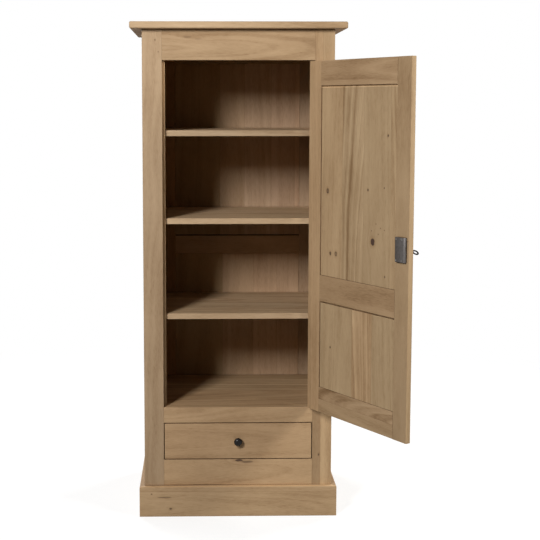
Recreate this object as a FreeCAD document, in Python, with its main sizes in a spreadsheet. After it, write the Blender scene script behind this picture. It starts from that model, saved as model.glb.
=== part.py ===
"""Tall cupboard: face frame, shelves, a framed door standing open, a drawer and a plinth."""

import FreeCAD
import Part
import Sketcher
import enum
import math
import os
import re

# Driving dimensions, in millimetres and degrees.
SIZES = {
    # Overall form.
    "overall_height": 1900,
    "body_width": 725,
    "body_depth": 560,
    "cornice_thickness": 26,
    "cornice_side_overhang": 45,
    "cornice_front_overhang": 32,
    "cornice_radius": 6,
    "plinth_height": 118,
    "plinth_thickness": 20,
    "plinth_radius": 4,
    "arris_radius": 1.5,
    # Face frame.
    "frame_thickness": 21,
    "stile_width": 75,
    "top_rail_height": 116,
    "floor_level": 428,
    "middle_rail_height": 61,
    "drawer_opening_height": 146,
    "lower_rail_height": 160,
    "tenon_length": 30,
    "tenon_thickness": 8,
    "tenon_shoulder": 12,
    # Sides, shelves and back.
    "side_thickness": 20,
    "tongue_thickness": 8,
    "tongue_depth": 8,
    "housing_depth": 7,
    "rabbet_depth": 10,
    "shelf_thickness": 22,
    "upper_shelf_level": 1495,
    "middle_shelf_level": 1159,
    "lower_shelf_level": 790,
    "back_thickness": 20,
    "back_left_stile_width": 101,
    "back_right_stile_width": 75,
    "back_top_rail_height": 110,
    "back_middle_rail_level": 959,
    "back_middle_rail_height": 76,
    "back_bottom_level": 60,
    "back_bottom_rail_height": 120,
    "stop_thickness": 12,
    "stop_width": 30,
    "stop_reveal": 10,
    "stop_rise": 30,
    # Framed panels.
    "groove_width": 6,
    "groove_depth": 10,
    "panel_set_back": 1,
    "panel_play": 1,
    "panel_seat": 0.5,
    "back_panel_gap": 4,
    "door_panel_gap": 5,
    # Door.
    "door_angle": 121,
    "door_thickness": 20,
    "door_side_gap": 2,
    "door_top_gap": 4,
    "door_bottom_gap": 2,
    "door_stile_width": 71,
    "door_top_rail_height": 92,
    "door_lock_rail_level": 857,
    "door_lock_rail_height": 99,
    "door_bottom_rail_height": 97,
    "door_tenon_length": 40,
    "door_tenon_haunch": 15,
    # Hinges.
    "hinge_length": 80,
    "hinge_end_distance": 109,
    "leaf_width": 16,
    "leaf_thickness": 1.6,
    "leaf_gap": 0.2,
    "knuckle_radius": 3.5,
    "knuckle_stand_off": 4,
    "knuckle_gap": 0.3,
    "pin_radius": 1.75,
    "pin_chamfer": 0.4,
    "running_clearance": 0.05,
    "hinge_screw_pitch": 28,
    "screw_head_radius": 3,
    "screw_head_length": 1.6,
    "screw_shank_radius": 1.5,
    "screw_length": 14,
    "screw_clearance": 0.1,
    # Lock and key.
    "lock_level": 1100,
    "lock_height": 86,
    "lock_width": 50,
    "lock_thickness": 11,
    "lock_edge_distance": 10,
    "lock_wall": 1.5,
    "lock_land": 15,
    "lock_radius": 2.5,
    "lock_screw_inset": 6.5,
    "lock_screw_edge_inset": 15,
    "bolt_thickness": 6,
    "bolt_height": 20,
    "bolt_length": 33,
    "bolt_throw": 12,
    "bolt_clearance": 0.4,
    "talon_width": 11,
    "talon_depth": 4,
    "talon_offset": 4,
    "talon_clearance": 0.6,
    "key_edge_distance": 29,
    "key_drop": 12,
    "key_shank_radius": 2.5,
    "key_shank_reach": 25,
    "key_bow_radius": 10,
    "key_bow_width": 4,
    "key_bow_bevel": 1.2,
    "key_collar_radius": 4,
    "key_collar_length": 2.5,
    "key_bit_radius": 8,
    "key_bit_thickness": 3,
    "key_bit_length": 5,
    "key_tilt": 33,
    "key_clearance": 0.3,
    "keyhole_drop": 9,
    "keyhole_slot_width": 4.4,
    "keyhole_bore_radius": 4.5,
    "escutcheon_width": 22,
    "escutcheon_height": 46,
    "escutcheon_thickness": 1.5,
    "escutcheon_bevel": 0.6,
    # Drawer.
    "drawer_side_gap": 3,
    "drawer_front_gap": 3,
    "drawer_front_thickness": 20,
    "drawer_back_clearance": 40,
    "drawer_side_thickness": 12,
    "drawer_side_height": 143,
    "drawer_lap": 6,
    "drawer_bottom_thickness": 6,
    "drawer_bottom_rise": 10,
    "drawer_back_drop": 12,
    "runner_height": 25,
    "runner_inset": 8,
    "guide_height": 40,
    "knob_foot_radius": 9,
    "knob_foot_length": 3,
    "knob_neck_radius": 6,
    "knob_neck_length": 9,
    "knob_radius": 16,
    "knob_rim_reach": 18,
    "knob_reach": 27,
    "knob_rim_bevel": 2,
    "knob_rim_width": 2,
    "knob_screw_radius": 2,
    "knob_screw_depth": 12,
    "knob_screw_head_radius": 4.5,
    "knob_screw_head_length": 2.5,
}

# Places worked out from the driving dimensions. The front of the face frame is y = 0.
LEVELS = {
    "half_width": "body_width / 2",
    "body_top": "overall_height - cornice_thickness",
    "opening_half": "half_width - stile_width",
    "opening_top": "body_top - top_rail_height",
    "inner_half": "half_width - side_thickness",
    "rabbet_half": "inner_half + rabbet_depth",
    "housing_half": "inner_half + housing_depth",
    "tongue_middle": "half_width - side_thickness / 2",
    "tongue_front": "frame_thickness - tongue_depth",
    "back_front": "body_depth - back_thickness",
    "shelf_front": "frame_thickness + stop_thickness",
    "drawer_opening_top": "floor_level - middle_rail_height",
    "runner_level": "drawer_opening_top - drawer_opening_height",
    "back_panel_left": "back_left_stile_width - rabbet_half",
    "back_panel_right": "rabbet_half - back_right_stile_width",
    "back_lower_panel_low": "back_bottom_level + back_bottom_rail_height",
    "back_upper_panel_low": "back_middle_rail_level + back_middle_rail_height",
    "back_upper_panel_high": "body_top - back_top_rail_height",
    "stop_edge": "stop_reveal - opening_half",
    "door_half": "opening_half - door_side_gap",
    "door_low": "floor_level + door_bottom_gap",
    "door_high": "opening_top - door_top_gap",
    "door_panel_half": "door_half - door_stile_width",
    "door_lower_panel_low": "door_low + door_bottom_rail_height",
    "door_upper_panel_low": "door_lock_rail_level + door_lock_rail_height",
    "door_upper_panel_high": "door_high - door_top_rail_height",
    "pin_x": "opening_half - door_side_gap / 2",
    "pin_y": "-knuckle_stand_off",
    "leaf_inner": "leaf_gap / 2",
    "leaf_outer": "leaf_gap / 2 + leaf_thickness",
    "lock_outer": "lock_edge_distance - door_half",
    "lock_inner": "lock_outer + lock_width",
    "lock_back": "door_thickness + lock_thickness",
    "lock_low": "lock_level - lock_height / 2",
    "lock_high": "lock_level + lock_height / 2",
    "key_x": "key_edge_distance - door_half",
    "key_z": "lock_level - key_drop",
    "bolt_front": "door_thickness + (lock_thickness - lock_wall - bolt_thickness) / 2",
    "bolt_back": "bolt_front + bolt_thickness",
    "bolt_low": "key_z + key_bit_radius + talon_clearance - talon_depth",
    "bolt_high": "bolt_low + bolt_height",
    "talon_x": "key_x + talon_offset",
    "drawer_half": "opening_half - drawer_side_gap",
    "drawer_end": "back_front - drawer_back_clearance",
    "drawer_inner": "drawer_half - drawer_side_thickness",
    "drawer_front_low": "runner_level + drawer_front_gap",
    "drawer_front_high": "drawer_opening_top - drawer_front_gap",
    "drawer_side_high": "runner_level + drawer_side_height",
    "drawer_lap_front": "drawer_front_thickness - drawer_lap",
    "drawer_groove_low": "runner_level + drawer_bottom_rise",
    "drawer_groove_high": "drawer_groove_low + drawer_bottom_thickness",
    "drawer_groove_half": "drawer_inner + drawer_lap",
    "knob_z": "(drawer_front_low + drawer_front_high) / 2",
}

LEFT, RIGHT = -1, 1
SHELF_LEVELS = ("upper_shelf_level", "middle_shelf_level", "lower_shelf_level")
HINGE_LEVELS = {
    "top": "door_high - hinge_end_distance",
    "middle": "(door_low + door_high) / 2",
    "bottom": "door_low + hinge_end_distance",
}
KNUCKLES = (RIGHT, LEFT, RIGHT, LEFT, RIGHT)

ALONG_Z = FreeCAD.Vector(0, 0, 1)
SKETCH_ORIGIN, SKETCH_UPRIGHT_AXIS = range(-1, -3, -1)
START, END, CENTRE = enum.IntEnum("Vertex", "START END CENTRE")
TOUCH = 1e-4

doc = FreeCAD.newDocument("highboard")
sheet = doc.addObject("Spreadsheet::Sheet", "Sizes")
nodes = []


def fill_sheet():
    """Writes each driving dimension in a cell whose alias is its name."""
    for row, (name, value) in enumerate(SIZES.items(), 1):
        sheet.set(f"A{row}", name)
        sheet.set(f"B{row}", str(value))
        sheet.setAlias(f"B{row}", name)
    doc.recompute()


def formula(text):
    """Turns the size and level names in a formula into references to the sheet."""

    def reference(match):
        name = match.group()
        if name in LEVELS:
            return f"({formula(LEVELS[name])})"
        return f"Sizes.{name}" if name in SIZES else name

    return re.sub(r"[a-z_]+", reference, text)


def value_of(text):
    """The present value of a formula."""
    return float(sheet.evalExpression(formula(text)))


def bind(item, **formulas):
    """Ties properties of an item to formulas; a double underscore stands for a dot."""
    for path, text in formulas.items():
        item.setExpression(path.replace("__", "."), formula(text))
    return item


def place(item, x="0", y="0", z="0"):
    """Ties the place of an item's own origin to three formulas."""
    return bind(item, Placement__Base__x=x, Placement__Base__y=y, Placement__Base__z=z)


def flip(span, side):
    """A span on the right, or its mirror image on the left."""
    low, high = span
    return span if side == RIGHT else (f"-({high})", f"-({low})")


def centred(middle, width):
    """A span of a given width about a middle place."""
    return (f"{middle} - {width} / 2", f"{middle} + {width} / 2")


def block(name, x, y, z):
    """A rectangular block between two places on each axis."""
    item = doc.addObject("Part::Box", name)
    for size, (low, high) in zip(("Length", "Width", "Height"), (x, y, z)):
        item.setExpression(size, formula(f"({high}) - ({low})"))
    return place(item, x[0], y[0], z[0])


def blocks(name, spans):
    """One block for each set of three spans."""
    return [block(f"{name}_{number}", *span) for number, span in enumerate(spans, 1)]


def rod(name, radius, length, axis, at):
    """A cylinder that starts at a place and runs along an axis."""
    item = bind(doc.addObject("Part::Cylinder", name), Radius=radius, Height=length)
    item.Placement.Rotation = FreeCAD.Rotation(ALONG_Z, FreeCAD.Vector(*axis))
    return place(item, *at)


def taper(name, radii, length, axis, at):
    """A cone that starts at a place and narrows along an axis."""
    item = bind(doc.addObject("Part::Cone", name), Radius1=radii[0], Radius2=radii[1], Height=length)
    item.Placement.Rotation = FreeCAD.Rotation(ALONG_Z, FreeCAD.Vector(*axis))
    return place(item, *at)


def near(a, b):
    """Whether two places are the same."""
    return abs(a - b) < TOUCH


def edge_numbers(shape, chosen):
    """The numbers of the edges that pass a test."""
    return [number for number, edge in enumerate(shape.Edges, 1) if chosen(edge)]


def lies_on(shape, faces):
    """A test for the edges that lie on all the named faces of a shape's box, such as x-y+."""
    box = shape.BoundBox
    ends = {"-": (box.XMin, box.YMin, box.ZMin), "+": (box.XMax, box.YMax, box.ZMax)}
    wanted = [(axis.upper(), ends[end]["xyz".index(axis)]) for axis, end in re.findall("(.)(.)", faces)]
    return lambda edge: all(near(getattr(v, axis), at) for v in edge.Vertexes for axis, at in wanted)


def eased(base, corners, radius, kind="Part::Fillet"):
    """Rounds or bevels the edges of an item that lie on the named faces."""
    doc.recompute()
    item = doc.addObject(kind, f"{base.Name}_eased")
    item.Base = base
    size = value_of(radius)
    numbers = {n for faces in corners for n in edge_numbers(base.Shape, lies_on(base.Shape, faces))}
    item.Edges = [(number, size, size) for number in sorted(numbers)]
    return item


def fused(name, items):
    """Joins several items in one solid."""
    item = doc.addObject("Part::MultiFuse", name)
    item.Shapes = items
    item.Refine = True
    return item


def cut(name, base, tools):
    """Takes one or more items away from a base."""
    item = doc.addObject("Part::Cut", name)
    item.Base = base
    item.Tool = fused(f"{name}_tools", tools) if len(tools) > 1 else tools[0]
    item.Refine = True
    return item


def grouped(name, items):
    """Holds separate solids together as one sub-part."""
    item = doc.addObject("Part::Compound", name)
    item.Links = items
    return item


def keep(item, label):
    """Names a finished sub-part."""
    item.Label = label
    nodes.append(item)
    return item


def board(label, x, y, z, corners=(), adds=(), cuts=(), tools=()):
    """A board with eased edges, joints that stand out of it and joints cut into it."""
    item = block(f"{label}_blank", x, y, z)
    if corners:
        item = eased(item, corners, "arris_radius")
    if adds:
        item = fused(f"{label}_joined", [item, *blocks(f"{label}_joint", adds)])
    tools = [*blocks(f"{label}_recess", cuts), *tools]
    if tools:
        item = cut(f"{label}_cut", item, tools)
    return keep(item, label)


def hang(item):
    """Swings a door piece from the closed place to the open one about the hinge pins."""
    x = "pin_x - (cos(door_angle) * pin_x - sin(door_angle) * pin_y)"
    y = "pin_y - (sin(door_angle) * pin_x + cos(door_angle) * pin_y)"
    return bind(place(item, x, y), Placement__Rotation__Angle="door_angle")


def sketch_on(body, role, name):
    """A sketch on one of a body's own origin planes."""
    plane = next(item for item in body.Origin.OriginFeatures if item.Role == role)
    item = body.newObject("Sketcher::SketchObject", name)
    item.AttachmentSupport = [(plane, "")]
    item.MapMode = "FlatFace"
    return item


def dome(start, end):
    """An arc between two points that is centred on the sketch's upright axis."""
    middle = (start.Length**2 - end.Length**2) / (2 * (start.y - end.y))
    centre = FreeCAD.Vector(0, middle, 0)
    angles = sorted(math.atan2(point.y - middle, point.x) for point in (start, end))
    return Part.ArcOfCircle(Part.Circle(centre, ALONG_Z, centre.distanceToPoint(start)), *angles)


def outline(sketch, corners, domes=()):
    """A closed outline through corners given as formulas; the runs named in domes are arcs."""
    points = [FreeCAD.Vector(value_of(x), value_of(y), 0) for x, y in corners]
    runs = []
    for number, (start, end) in enumerate(zip(points, points[1:] + points[:1])):
        curve = dome(start, end) if number in domes else Part.LineSegment(start, end)
        first, last = (START, END) if curve.StartPoint.isEqual(start, TOUCH) else (END, START)
        run = sketch.addGeometry(curve, False)
        runs.append((run, first, last))
        if number in domes:
            sketch.addConstraint(Sketcher.Constraint("PointOnObject", run, CENTRE, SKETCH_UPRIGHT_AXIS))
    for (run, _, last), (following, first, _) in zip(runs, runs[1:] + runs[:1]):
        sketch.addConstraint(Sketcher.Constraint("Coincident", run, last, following, first))
    for (run, first, _), (x, y) in zip(runs, corners):
        for kind, text in (("DistanceX", x), ("DistanceY", y)):
            distance = Sketcher.Constraint(kind, SKETCH_ORIGIN, START, run, first, value_of(text))
            sketch.setExpression(f"Constraints[{sketch.addConstraint(distance)}]", formula(text))


def padded(label, corners, length):
    """A body raised from a closed outline on the ground plane."""
    body = doc.addObject("PartDesign::Body", f"{label}_body")
    sketch = sketch_on(body, "XY_Plane", f"{label}_outline")
    outline(sketch, corners)
    raised = body.newObject("PartDesign::Pad", f"{label}_pad")
    raised.Profile = sketch
    bind(raised, Length=length)
    doc.recompute()
    return body


def body_fillet(body, radius, chosen):
    """Rounds the edges of a body that pass a test."""
    base = body.Tip
    item = body.newObject("PartDesign::Fillet", f"{base.Name}_fillet")
    item.Base = (base, [f"Edge{number}" for number in edge_numbers(base.Shape, chosen)])
    bind(item, Radius=radius)
    doc.recompute()


def make_cornice():
    """The top board, whose rounded front and side edges overhang the body."""
    half, front = "half_width + cornice_side_overhang", "-cornice_front_overhang"
    corners = [(f"-({half})", front), (half, front), (half, "body_depth"), (f"-({half})", "body_depth")]
    body = padded("cornice", corners, "cornice_thickness")
    at_back = lies_on(body.Tip.Shape, "y+")
    body_fillet(body, "cornice_radius", lambda edge: not at_back(edge))
    keep(place(body, z="body_top"), "cornice")


def make_plinth():
    """Three boards round the foot of the body, mitred at the front corners and rounded on top."""
    out, front = "half_width + plinth_thickness", "-plinth_thickness"
    across = [(f"-({out})", front), (out, front), ("half_width", "0"), ("-half_width", "0")]
    right = [(out, front), (out, "body_depth"), ("half_width", "body_depth"), ("half_width", "0")]
    left = [(f"-({x})", y) for x, y in right]
    boards = {
        "plinth_front": (across, "y-z+"),
        "plinth_left": (left, "x-z+"),
        "plinth_right": (right, "x+z+"),
    }
    for label, (corners, arris) in boards.items():
        body = padded(label, corners, "plinth_height")
        body_fillet(body, "plinth_radius", lies_on(body.Tip.Shape, arris))
        keep(body, label)


def frame_rails():
    """Low and high places of the three rails of the face frame."""
    return {
        "top_rail": ("opening_top", "body_top"),
        "middle_rail": ("drawer_opening_top", "floor_level"),
        "lower_rail": ("runner_level - lower_rail_height", "runner_level"),
    }


def frame_tenon(side, low, high):
    """The tenon at one end of a rail of the face frame, which is its mortise's size too."""
    x = flip(("opening_half", "opening_half + tenon_length"), side)
    y = centred("frame_thickness / 2", "tenon_thickness")
    return x, y, (f"{low} + tenon_shoulder", f"{high} - tenon_shoulder")


def side_tongue(side):
    """The tongue on a side board's front edge, which is the stile's groove too."""
    x = flip(centred("tongue_middle", "tongue_thickness"), side)
    return x, ("tongue_front", "frame_thickness"), ("0", "body_top")


def make_face_frame():
    """Two stiles and three rails; the right stile also takes the hinge leaves."""
    y = ("0", "frame_thickness")
    for label, side in (("left_stile", LEFT), ("right_stile", RIGHT)):
        x = flip(("opening_half", "half_width"), side)
        cuts = [frame_tenon(side, low, high) for low, high in frame_rails().values()]
        cuts.append(side_tongue(side))
        tools = []
        if side == RIGHT:
            cuts += [leaf_plate(level, RIGHT) for level in HINGE_LEVELS.values()]
            tools = hinge_screw_holes(label, RIGHT)
        board(label, x, y, ("0", "body_top"), ("x-y-", "x+y-"), cuts=cuts, tools=tools)
    for label, (low, high) in frame_rails().items():
        tenons = [frame_tenon(side, low, high) for side in (LEFT, RIGHT)]
        board(label, ("-opening_half", "opening_half"), y, (low, high), ("y-z-", "y-z+"), tenons)


def make_sides():
    """Two side boards, tongued into the stiles and housed for the shelves and the floor."""
    for label, side, corner in (("left_side", LEFT, "x-y+"), ("right_side", RIGHT, "x+y+")):
        x = flip(("inner_half", "half_width"), side)
        housing = flip(("inner_half", "housing_half"), side)
        cuts = [
            (housing, ("shelf_front", "back_front"), (f"{level} - shelf_thickness", level))
            for level in SHELF_LEVELS
        ]
        floor = ("floor_level - shelf_thickness", "floor_level")
        cuts.append((housing, ("frame_thickness", "back_front"), floor))
        rabbet = flip(("inner_half", "rabbet_half"), side)
        cuts.append((rabbet, ("back_front", "body_depth"), ("0", "body_top")))
        y = ("frame_thickness", "body_depth")
        board(label, x, y, ("0", "body_top"), (corner,), [side_tongue(side)], cuts)


def make_shelves():
    """Three fixed shelves, the cupboard's floor and the strip that stops the door."""
    x = ("-housing_half", "housing_half")
    for level in SHELF_LEVELS:
        z = (f"{level} - shelf_thickness", level)
        board(level.replace("_level", ""), x, ("shelf_front", "back_front"), z, ("y-z-", "y-z+"))
    floor = ("floor_level - shelf_thickness", "floor_level")
    board("cupboard_floor", x, ("frame_thickness", "back_front"), floor)
    keeper = (
        ("stop_edge - bolt_throw", "stop_edge"),
        ("bolt_front - bolt_clearance", "bolt_back + bolt_clearance"),
        ("bolt_low - bolt_clearance", "bolt_high + bolt_clearance"),
    )
    stop_x, stop_z = ("stop_edge - stop_width", "stop_edge"), ("floor_level", "opening_top + stop_rise")
    stop_y = ("frame_thickness", "shelf_front")
    board("door_stop", stop_x, stop_y, stop_z, ("x+y-", "x+y+"), cuts=[keeper])


def panel(label, x, z, groove, field, face, gaps):
    """A panel: a tongue that fits the groove all round and a raised field with its own gap on each side."""
    reach = "(groove_depth - panel_play)"
    spans = [(f"{low} - {reach}", f"{high} + {reach}") for low, high in (x, z)]
    tongue = block(f"{label}_tongue", spans[0], groove, spans[1])
    spans = [(f"{low} + {before}", f"{high} - {after}") for (low, high), (before, after) in zip((x, z), gaps)]
    raised = block(f"{label}_field", spans[0], field, spans[1])
    raised = eased(raised, (f"x-{face}", f"x+{face}", f"{face}z-", f"{face}z+"), "arris_radius")
    return keep(fused(f"{label}_solid", [tongue, raised]), label)


def rail_grooves(low, high, panel_spans, x, y):
    """The panel grooves of a rail, one on each edge that a panel meets."""
    grooves = []
    for panel_low, panel_high in panel_spans:
        if panel_low == high:
            grooves.append((x, y, (f"{high} - groove_depth", high)))
        if panel_high == low:
            grooves.append((x, y, (low, f"{low} + groove_depth")))
    return grooves


def make_back():
    """A frame of two stiles and three rails that holds two panels behind the shelves."""
    y, height = ("back_front", "body_depth"), ("back_bottom_level", "body_top")
    left, right = "back_panel_left", "back_panel_right"
    groove = centred("body_depth - back_thickness / 2", "groove_width")
    in_left, in_right = (f"{left} - groove_depth", left), (right, f"{right} + groove_depth")
    stile = ("-rabbet_half", left)
    board("back_left_stile", stile, y, height, ("x+y-",), cuts=[(in_left, groove, height)])
    stile = (right, "rabbet_half")
    board("back_right_stile", stile, y, height, ("x-y-",), cuts=[(in_right, groove, height)])
    rails = {
        "back_top_rail": ("back_upper_panel_high", "body_top"),
        "back_middle_rail": ("back_middle_rail_level", "back_upper_panel_low"),
        "back_bottom_rail": ("back_bottom_level", "back_lower_panel_low"),
    }
    panels = {
        "back_upper_panel": ("back_upper_panel_low", "back_upper_panel_high"),
        "back_lower_panel": ("back_lower_panel_low", "back_middle_rail_level"),
    }
    for label, (low, high) in rails.items():
        stubs = [(in_left, groove, (low, high)), (in_right, groove, (low, high))]
        cuts = rail_grooves(low, high, panels.values(), (in_left[0], in_right[1]), groove)
        board(label, (left, right), y, (low, high), ("y-z-", "y-z+"), stubs, cuts)
    field = ("back_front + panel_set_back", groove[0])
    seats = ("panel_seat", "panel_seat")
    heights = {"back_upper_panel": ("back_panel_gap", "panel_seat"), "back_lower_panel": seats}
    for label, z in panels.items():
        panel(label, (left, right), z, groove, field, "y-", (seats, heights[label]))


def door_tenon(side, low, high):
    """The deep part of the tenon at one end of a door rail, which is its mortise's size too."""
    x = flip(("door_panel_half", "door_panel_half + door_tenon_length"), side)
    y = centred("door_thickness / 2", "groove_width")
    return x, y, (f"{low} + door_tenon_haunch", f"{high} - door_tenon_haunch")


def make_door():
    """The framed door: two stiles, three rails with haunched tenons and two panels."""
    y, height = ("0", "door_thickness"), ("door_low", "door_high")
    half, groove = "door_panel_half", centred("door_thickness / 2", "groove_width")
    haunch = (half, f"{half} + groove_depth")
    rails = {
        "door_top_rail": ("door_upper_panel_high", "door_high"),
        "door_lock_rail": ("door_lock_rail_level", "door_upper_panel_low"),
        "door_bottom_rail": ("door_low", "door_lower_panel_low"),
    }
    panels = {
        "door_upper_panel": ("door_upper_panel_low", "door_upper_panel_high"),
        "door_lower_panel": ("door_lower_panel_low", "door_lock_rail_level"),
    }
    for label, side in (("door_lock_stile", LEFT), ("door_hinge_stile", RIGHT)):
        cuts = [(flip(haunch, side), groove, height)]
        cuts += [door_tenon(side, low, high) for low, high in rails.values()]
        if side == RIGHT:
            cuts += [leaf_plate(level, LEFT) for level in HINGE_LEVELS.values()]
            tools = hinge_screw_holes(label, LEFT)
        else:
            cuts.append(keyhole_slot(y))
            at = ("key_x", "0", "key_z")
            tools = [rod("keyhole_bore", "keyhole_bore_radius", "door_thickness", (0, 1, 0), at)]
            tools += lock_screw_holes(label)
        corners = ("x-y-", "x-y+", "x+y-", "x+y+")
        hang(board(label, flip((half, "door_half"), side), y, height, corners, cuts=cuts, tools=tools))
    for label, (low, high) in rails.items():
        joints = [(flip(haunch, side), groove, (low, high)) for side in (LEFT, RIGHT)]
        joints += [door_tenon(side, low, high) for side in (LEFT, RIGHT)]
        across = (f"-({half} + groove_depth)", f"{half} + groove_depth")
        cuts = rail_grooves(low, high, panels.values(), across, groove)
        corners = ("y-z-", "y-z+", "y+z-", "y+z+")
        hang(board(label, (f"-({half})", half), y, (low, high), corners, joints, cuts))
    field = (groove[1], "door_thickness - panel_set_back")
    gaps = ("panel_seat", "door_panel_gap")
    for label, z in panels.items():
        hang(panel(label, (f"-({half})", half), z, groove, field, "y+", (gaps, gaps)))


def leaf_span(side):
    """The thickness span of a hinge leaf beside the pins."""
    low, high = flip(("leaf_inner", "leaf_outer"), side)
    return f"pin_x + {low}", f"pin_x + {high}"


def leaf_plate(level, side):
    """The flat of a hinge leaf, which is also the recess that it lies in."""
    return leaf_span(side), ("0", "leaf_width"), centred(level, "hinge_length")


def hinge_screw_levels(level):
    """The heights of the three screws of a hinge leaf."""
    return [f"{level} + {step} * hinge_screw_pitch" for step in (-1, 0, 1)]


def countersunk(name, length, axis, head_at, shank_at, extra="0"):
    """A countersunk screw; extra widens it all round to make its hole."""
    radii = (f"screw_head_radius + {extra}", f"screw_shank_radius + {extra}")
    head = taper(f"{name}_head", radii, "screw_head_length", axis, head_at)
    shank = rod(f"{name}_shank", radii[1], f"{length} + {extra}", axis, shank_at)
    return fused(name, [head, shank])


def hinge_screw(name, side, z, extra="0"):
    """A screw that goes sideways through a hinge leaf into the wood."""
    sign = "+" if side == RIGHT else "-"
    head_at = (f"pin_x {sign} leaf_inner", "leaf_width / 2", z)
    shank_at = (f"pin_x {sign} (leaf_inner + screw_head_length)", "leaf_width / 2", z)
    return countersunk(name, "screw_length", (side, 0, 0), head_at, shank_at, extra)


def hinge_screw_holes(name, side):
    """The holes that the hinge screws need in a stile."""
    levels = [z for level in HINGE_LEVELS.values() for z in hinge_screw_levels(level)]
    return [hinge_screw(f"{name}_hole_{n}", side, z, "screw_clearance") for n, z in enumerate(levels, 1)]


def hinge_leaf(label, level, side):
    """A leaf: a plate, and tabs that carry its knuckles round the pin."""
    low = f"{level} - hinge_length / 2"
    pitch = f"hinge_length / {len(KNUCKLES)}"
    pieces = [block(f"{label}_plate", *leaf_plate(level, side))]
    for number in (n for n, owner in enumerate(KNUCKLES) if owner == side):
        start = f"{low} + {number} * {pitch} + knuckle_gap / 2"
        run = f"{pitch} - knuckle_gap"
        tab = (leaf_span(side), ("pin_y", "0"), (start, f"{start} + {run}"))
        pieces.append(block(f"{label}_tab_{number}", *tab))
        at = ("pin_x", "pin_y", start)
        pieces.append(rod(f"{label}_knuckle_{number}", "knuckle_radius", run, (0, 0, 1), at))
    bore = "pin_radius + running_clearance"
    holes = [rod(f"{label}_bore", bore, "hinge_length", (0, 0, 1), ("pin_x", "pin_y", low))]
    for number, z in enumerate(hinge_screw_levels(level), 1):
        holes.append(hinge_screw(f"{label}_hole_{number}", side, z, "screw_clearance"))
    return keep(cut(f"{label}_cut", fused(f"{label}_solid", pieces), holes), label)


def make_hinges():
    """Three butt hinges, each of two leaves and a pin, and their screws."""
    levels = []
    for name, level in HINGE_LEVELS.items():
        hinge_leaf(f"{name}_hinge_frame_leaf", level, RIGHT)
        hang(hinge_leaf(f"{name}_hinge_door_leaf", level, LEFT))
        at = ("pin_x", "pin_y", f"{level} - hinge_length / 2")
        pin = rod(f"{name}_pin", "pin_radius", "hinge_length", (0, 0, 1), at)
        keep(eased(pin, ("z-", "z+"), "pin_chamfer", "Part::Chamfer"), f"{name}_hinge_pin")
        levels += hinge_screw_levels(level)
    for label, side in (("frame_hinge_screws", RIGHT), ("door_hinge_screws", LEFT)):
        screws = [hinge_screw(f"{label}_{number}", side, z) for number, z in enumerate(levels, 1)]
        group = keep(grouped(f"{label}_group", screws), label)
        if side == LEFT:
            hang(group)


def lock_screws(name, extra="0"):
    """The four screws at the corners of the lock case; extra widens them to make their holes."""
    length = "lock_thickness - screw_head_length + screw_length"
    screws = []
    for x in ("lock_outer + lock_screw_edge_inset", "lock_inner - lock_screw_inset"):
        for z in ("lock_low + lock_screw_inset", "lock_high - lock_screw_inset"):
            label = f"{name}_{len(screws) + 1}"
            head_at, shank_at = (x, "lock_back", z), (x, "lock_back - screw_head_length", z)
            screws.append(countersunk(label, length, (0, -1, 0), head_at, shank_at, extra))
    return screws


def lock_screw_holes(name):
    """The holes that the lock's screws need in a piece."""
    return lock_screws(f"{name}_screw_hole", "screw_clearance")


def keyhole_slot(y):
    """The straight part of the keyhole, below its round part."""
    return centred("key_x", "keyhole_slot_width"), y, ("key_z - keyhole_drop", "key_z")


def make_lock():
    """The rim lock on the inner face of the door: a hollow case, its bolt and its screws."""
    case_x, case_y = ("lock_outer", "lock_inner"), ("door_thickness", "lock_back")
    case = block("lock_case_blank", case_x, case_y, ("lock_low", "lock_high"))
    outer_edges = ("x-y+", "x+y+", "y+z-", "y+z+", "x-z-", "x-z+", "x+z-", "x+z+")
    case = eased(case, outer_edges, "lock_radius")
    cavity = (
        ("lock_outer + lock_wall", "lock_inner - lock_wall"),
        ("door_thickness", "lock_back - lock_wall"),
        ("lock_low + lock_land", "lock_high - lock_land"),
    )
    mouth = (
        ("lock_outer", "lock_outer + lock_wall"),
        ("bolt_front - bolt_clearance", "bolt_back + bolt_clearance"),
        ("bolt_low - bolt_clearance", "bolt_high + bolt_clearance"),
    )
    hollow = [*blocks("lock_case_recess", [cavity, mouth]), *lock_screw_holes("lock_case")]
    hang(keep(cut("lock_case_cut", case, hollow), "lock_case"))
    bolt_x, bolt_y = ("lock_outer", "lock_outer + bolt_length"), ("bolt_front", "bolt_back")
    bar = block("lock_bolt_bar", bolt_x, bolt_y, ("bolt_low", "bolt_high"))
    notch = ("bolt_low", "bolt_low + talon_depth")
    talon = block("lock_bolt_talon", centred("talon_x", "talon_width"), bolt_y, notch)
    hang(keep(cut("lock_bolt_cut", bar, [talon]), "lock_bolt"))
    hang(keep(grouped("lock_screw_group", lock_screws("lock_screw")), "lock_screws"))


def make_escutcheon():
    """The oval plate round the keyhole on the front of the door."""
    y, through = ("-escutcheon_thickness", "0"), (0, 1, 0)
    half, run = "escutcheon_width / 2", "(escutcheon_height - escutcheon_width)"
    middle = (centred("key_x", "escutcheon_width"), y, centred("key_z", run))
    pieces = [block("escutcheon_middle", *middle)]
    for name, z in zip(("bottom", "top"), middle[2]):
        at = ("key_x", y[0], z)
        pieces.append(rod(f"escutcheon_{name}", half, "escutcheon_thickness", through, at))
    plate = eased(fused("escutcheon_oval", pieces), ("y-",), "escutcheon_bevel", "Part::Chamfer")
    slot = block("escutcheon_slot", *keyhole_slot(y))
    radius, at = "key_shank_radius + key_clearance", ("key_x", y[0], "key_z")
    hole = rod("escutcheon_hole", radius, "escutcheon_thickness", through, at)
    hang(keep(cut("escutcheon_cut", plate, [slot, hole]), "keyhole_escutcheon"))


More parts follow.
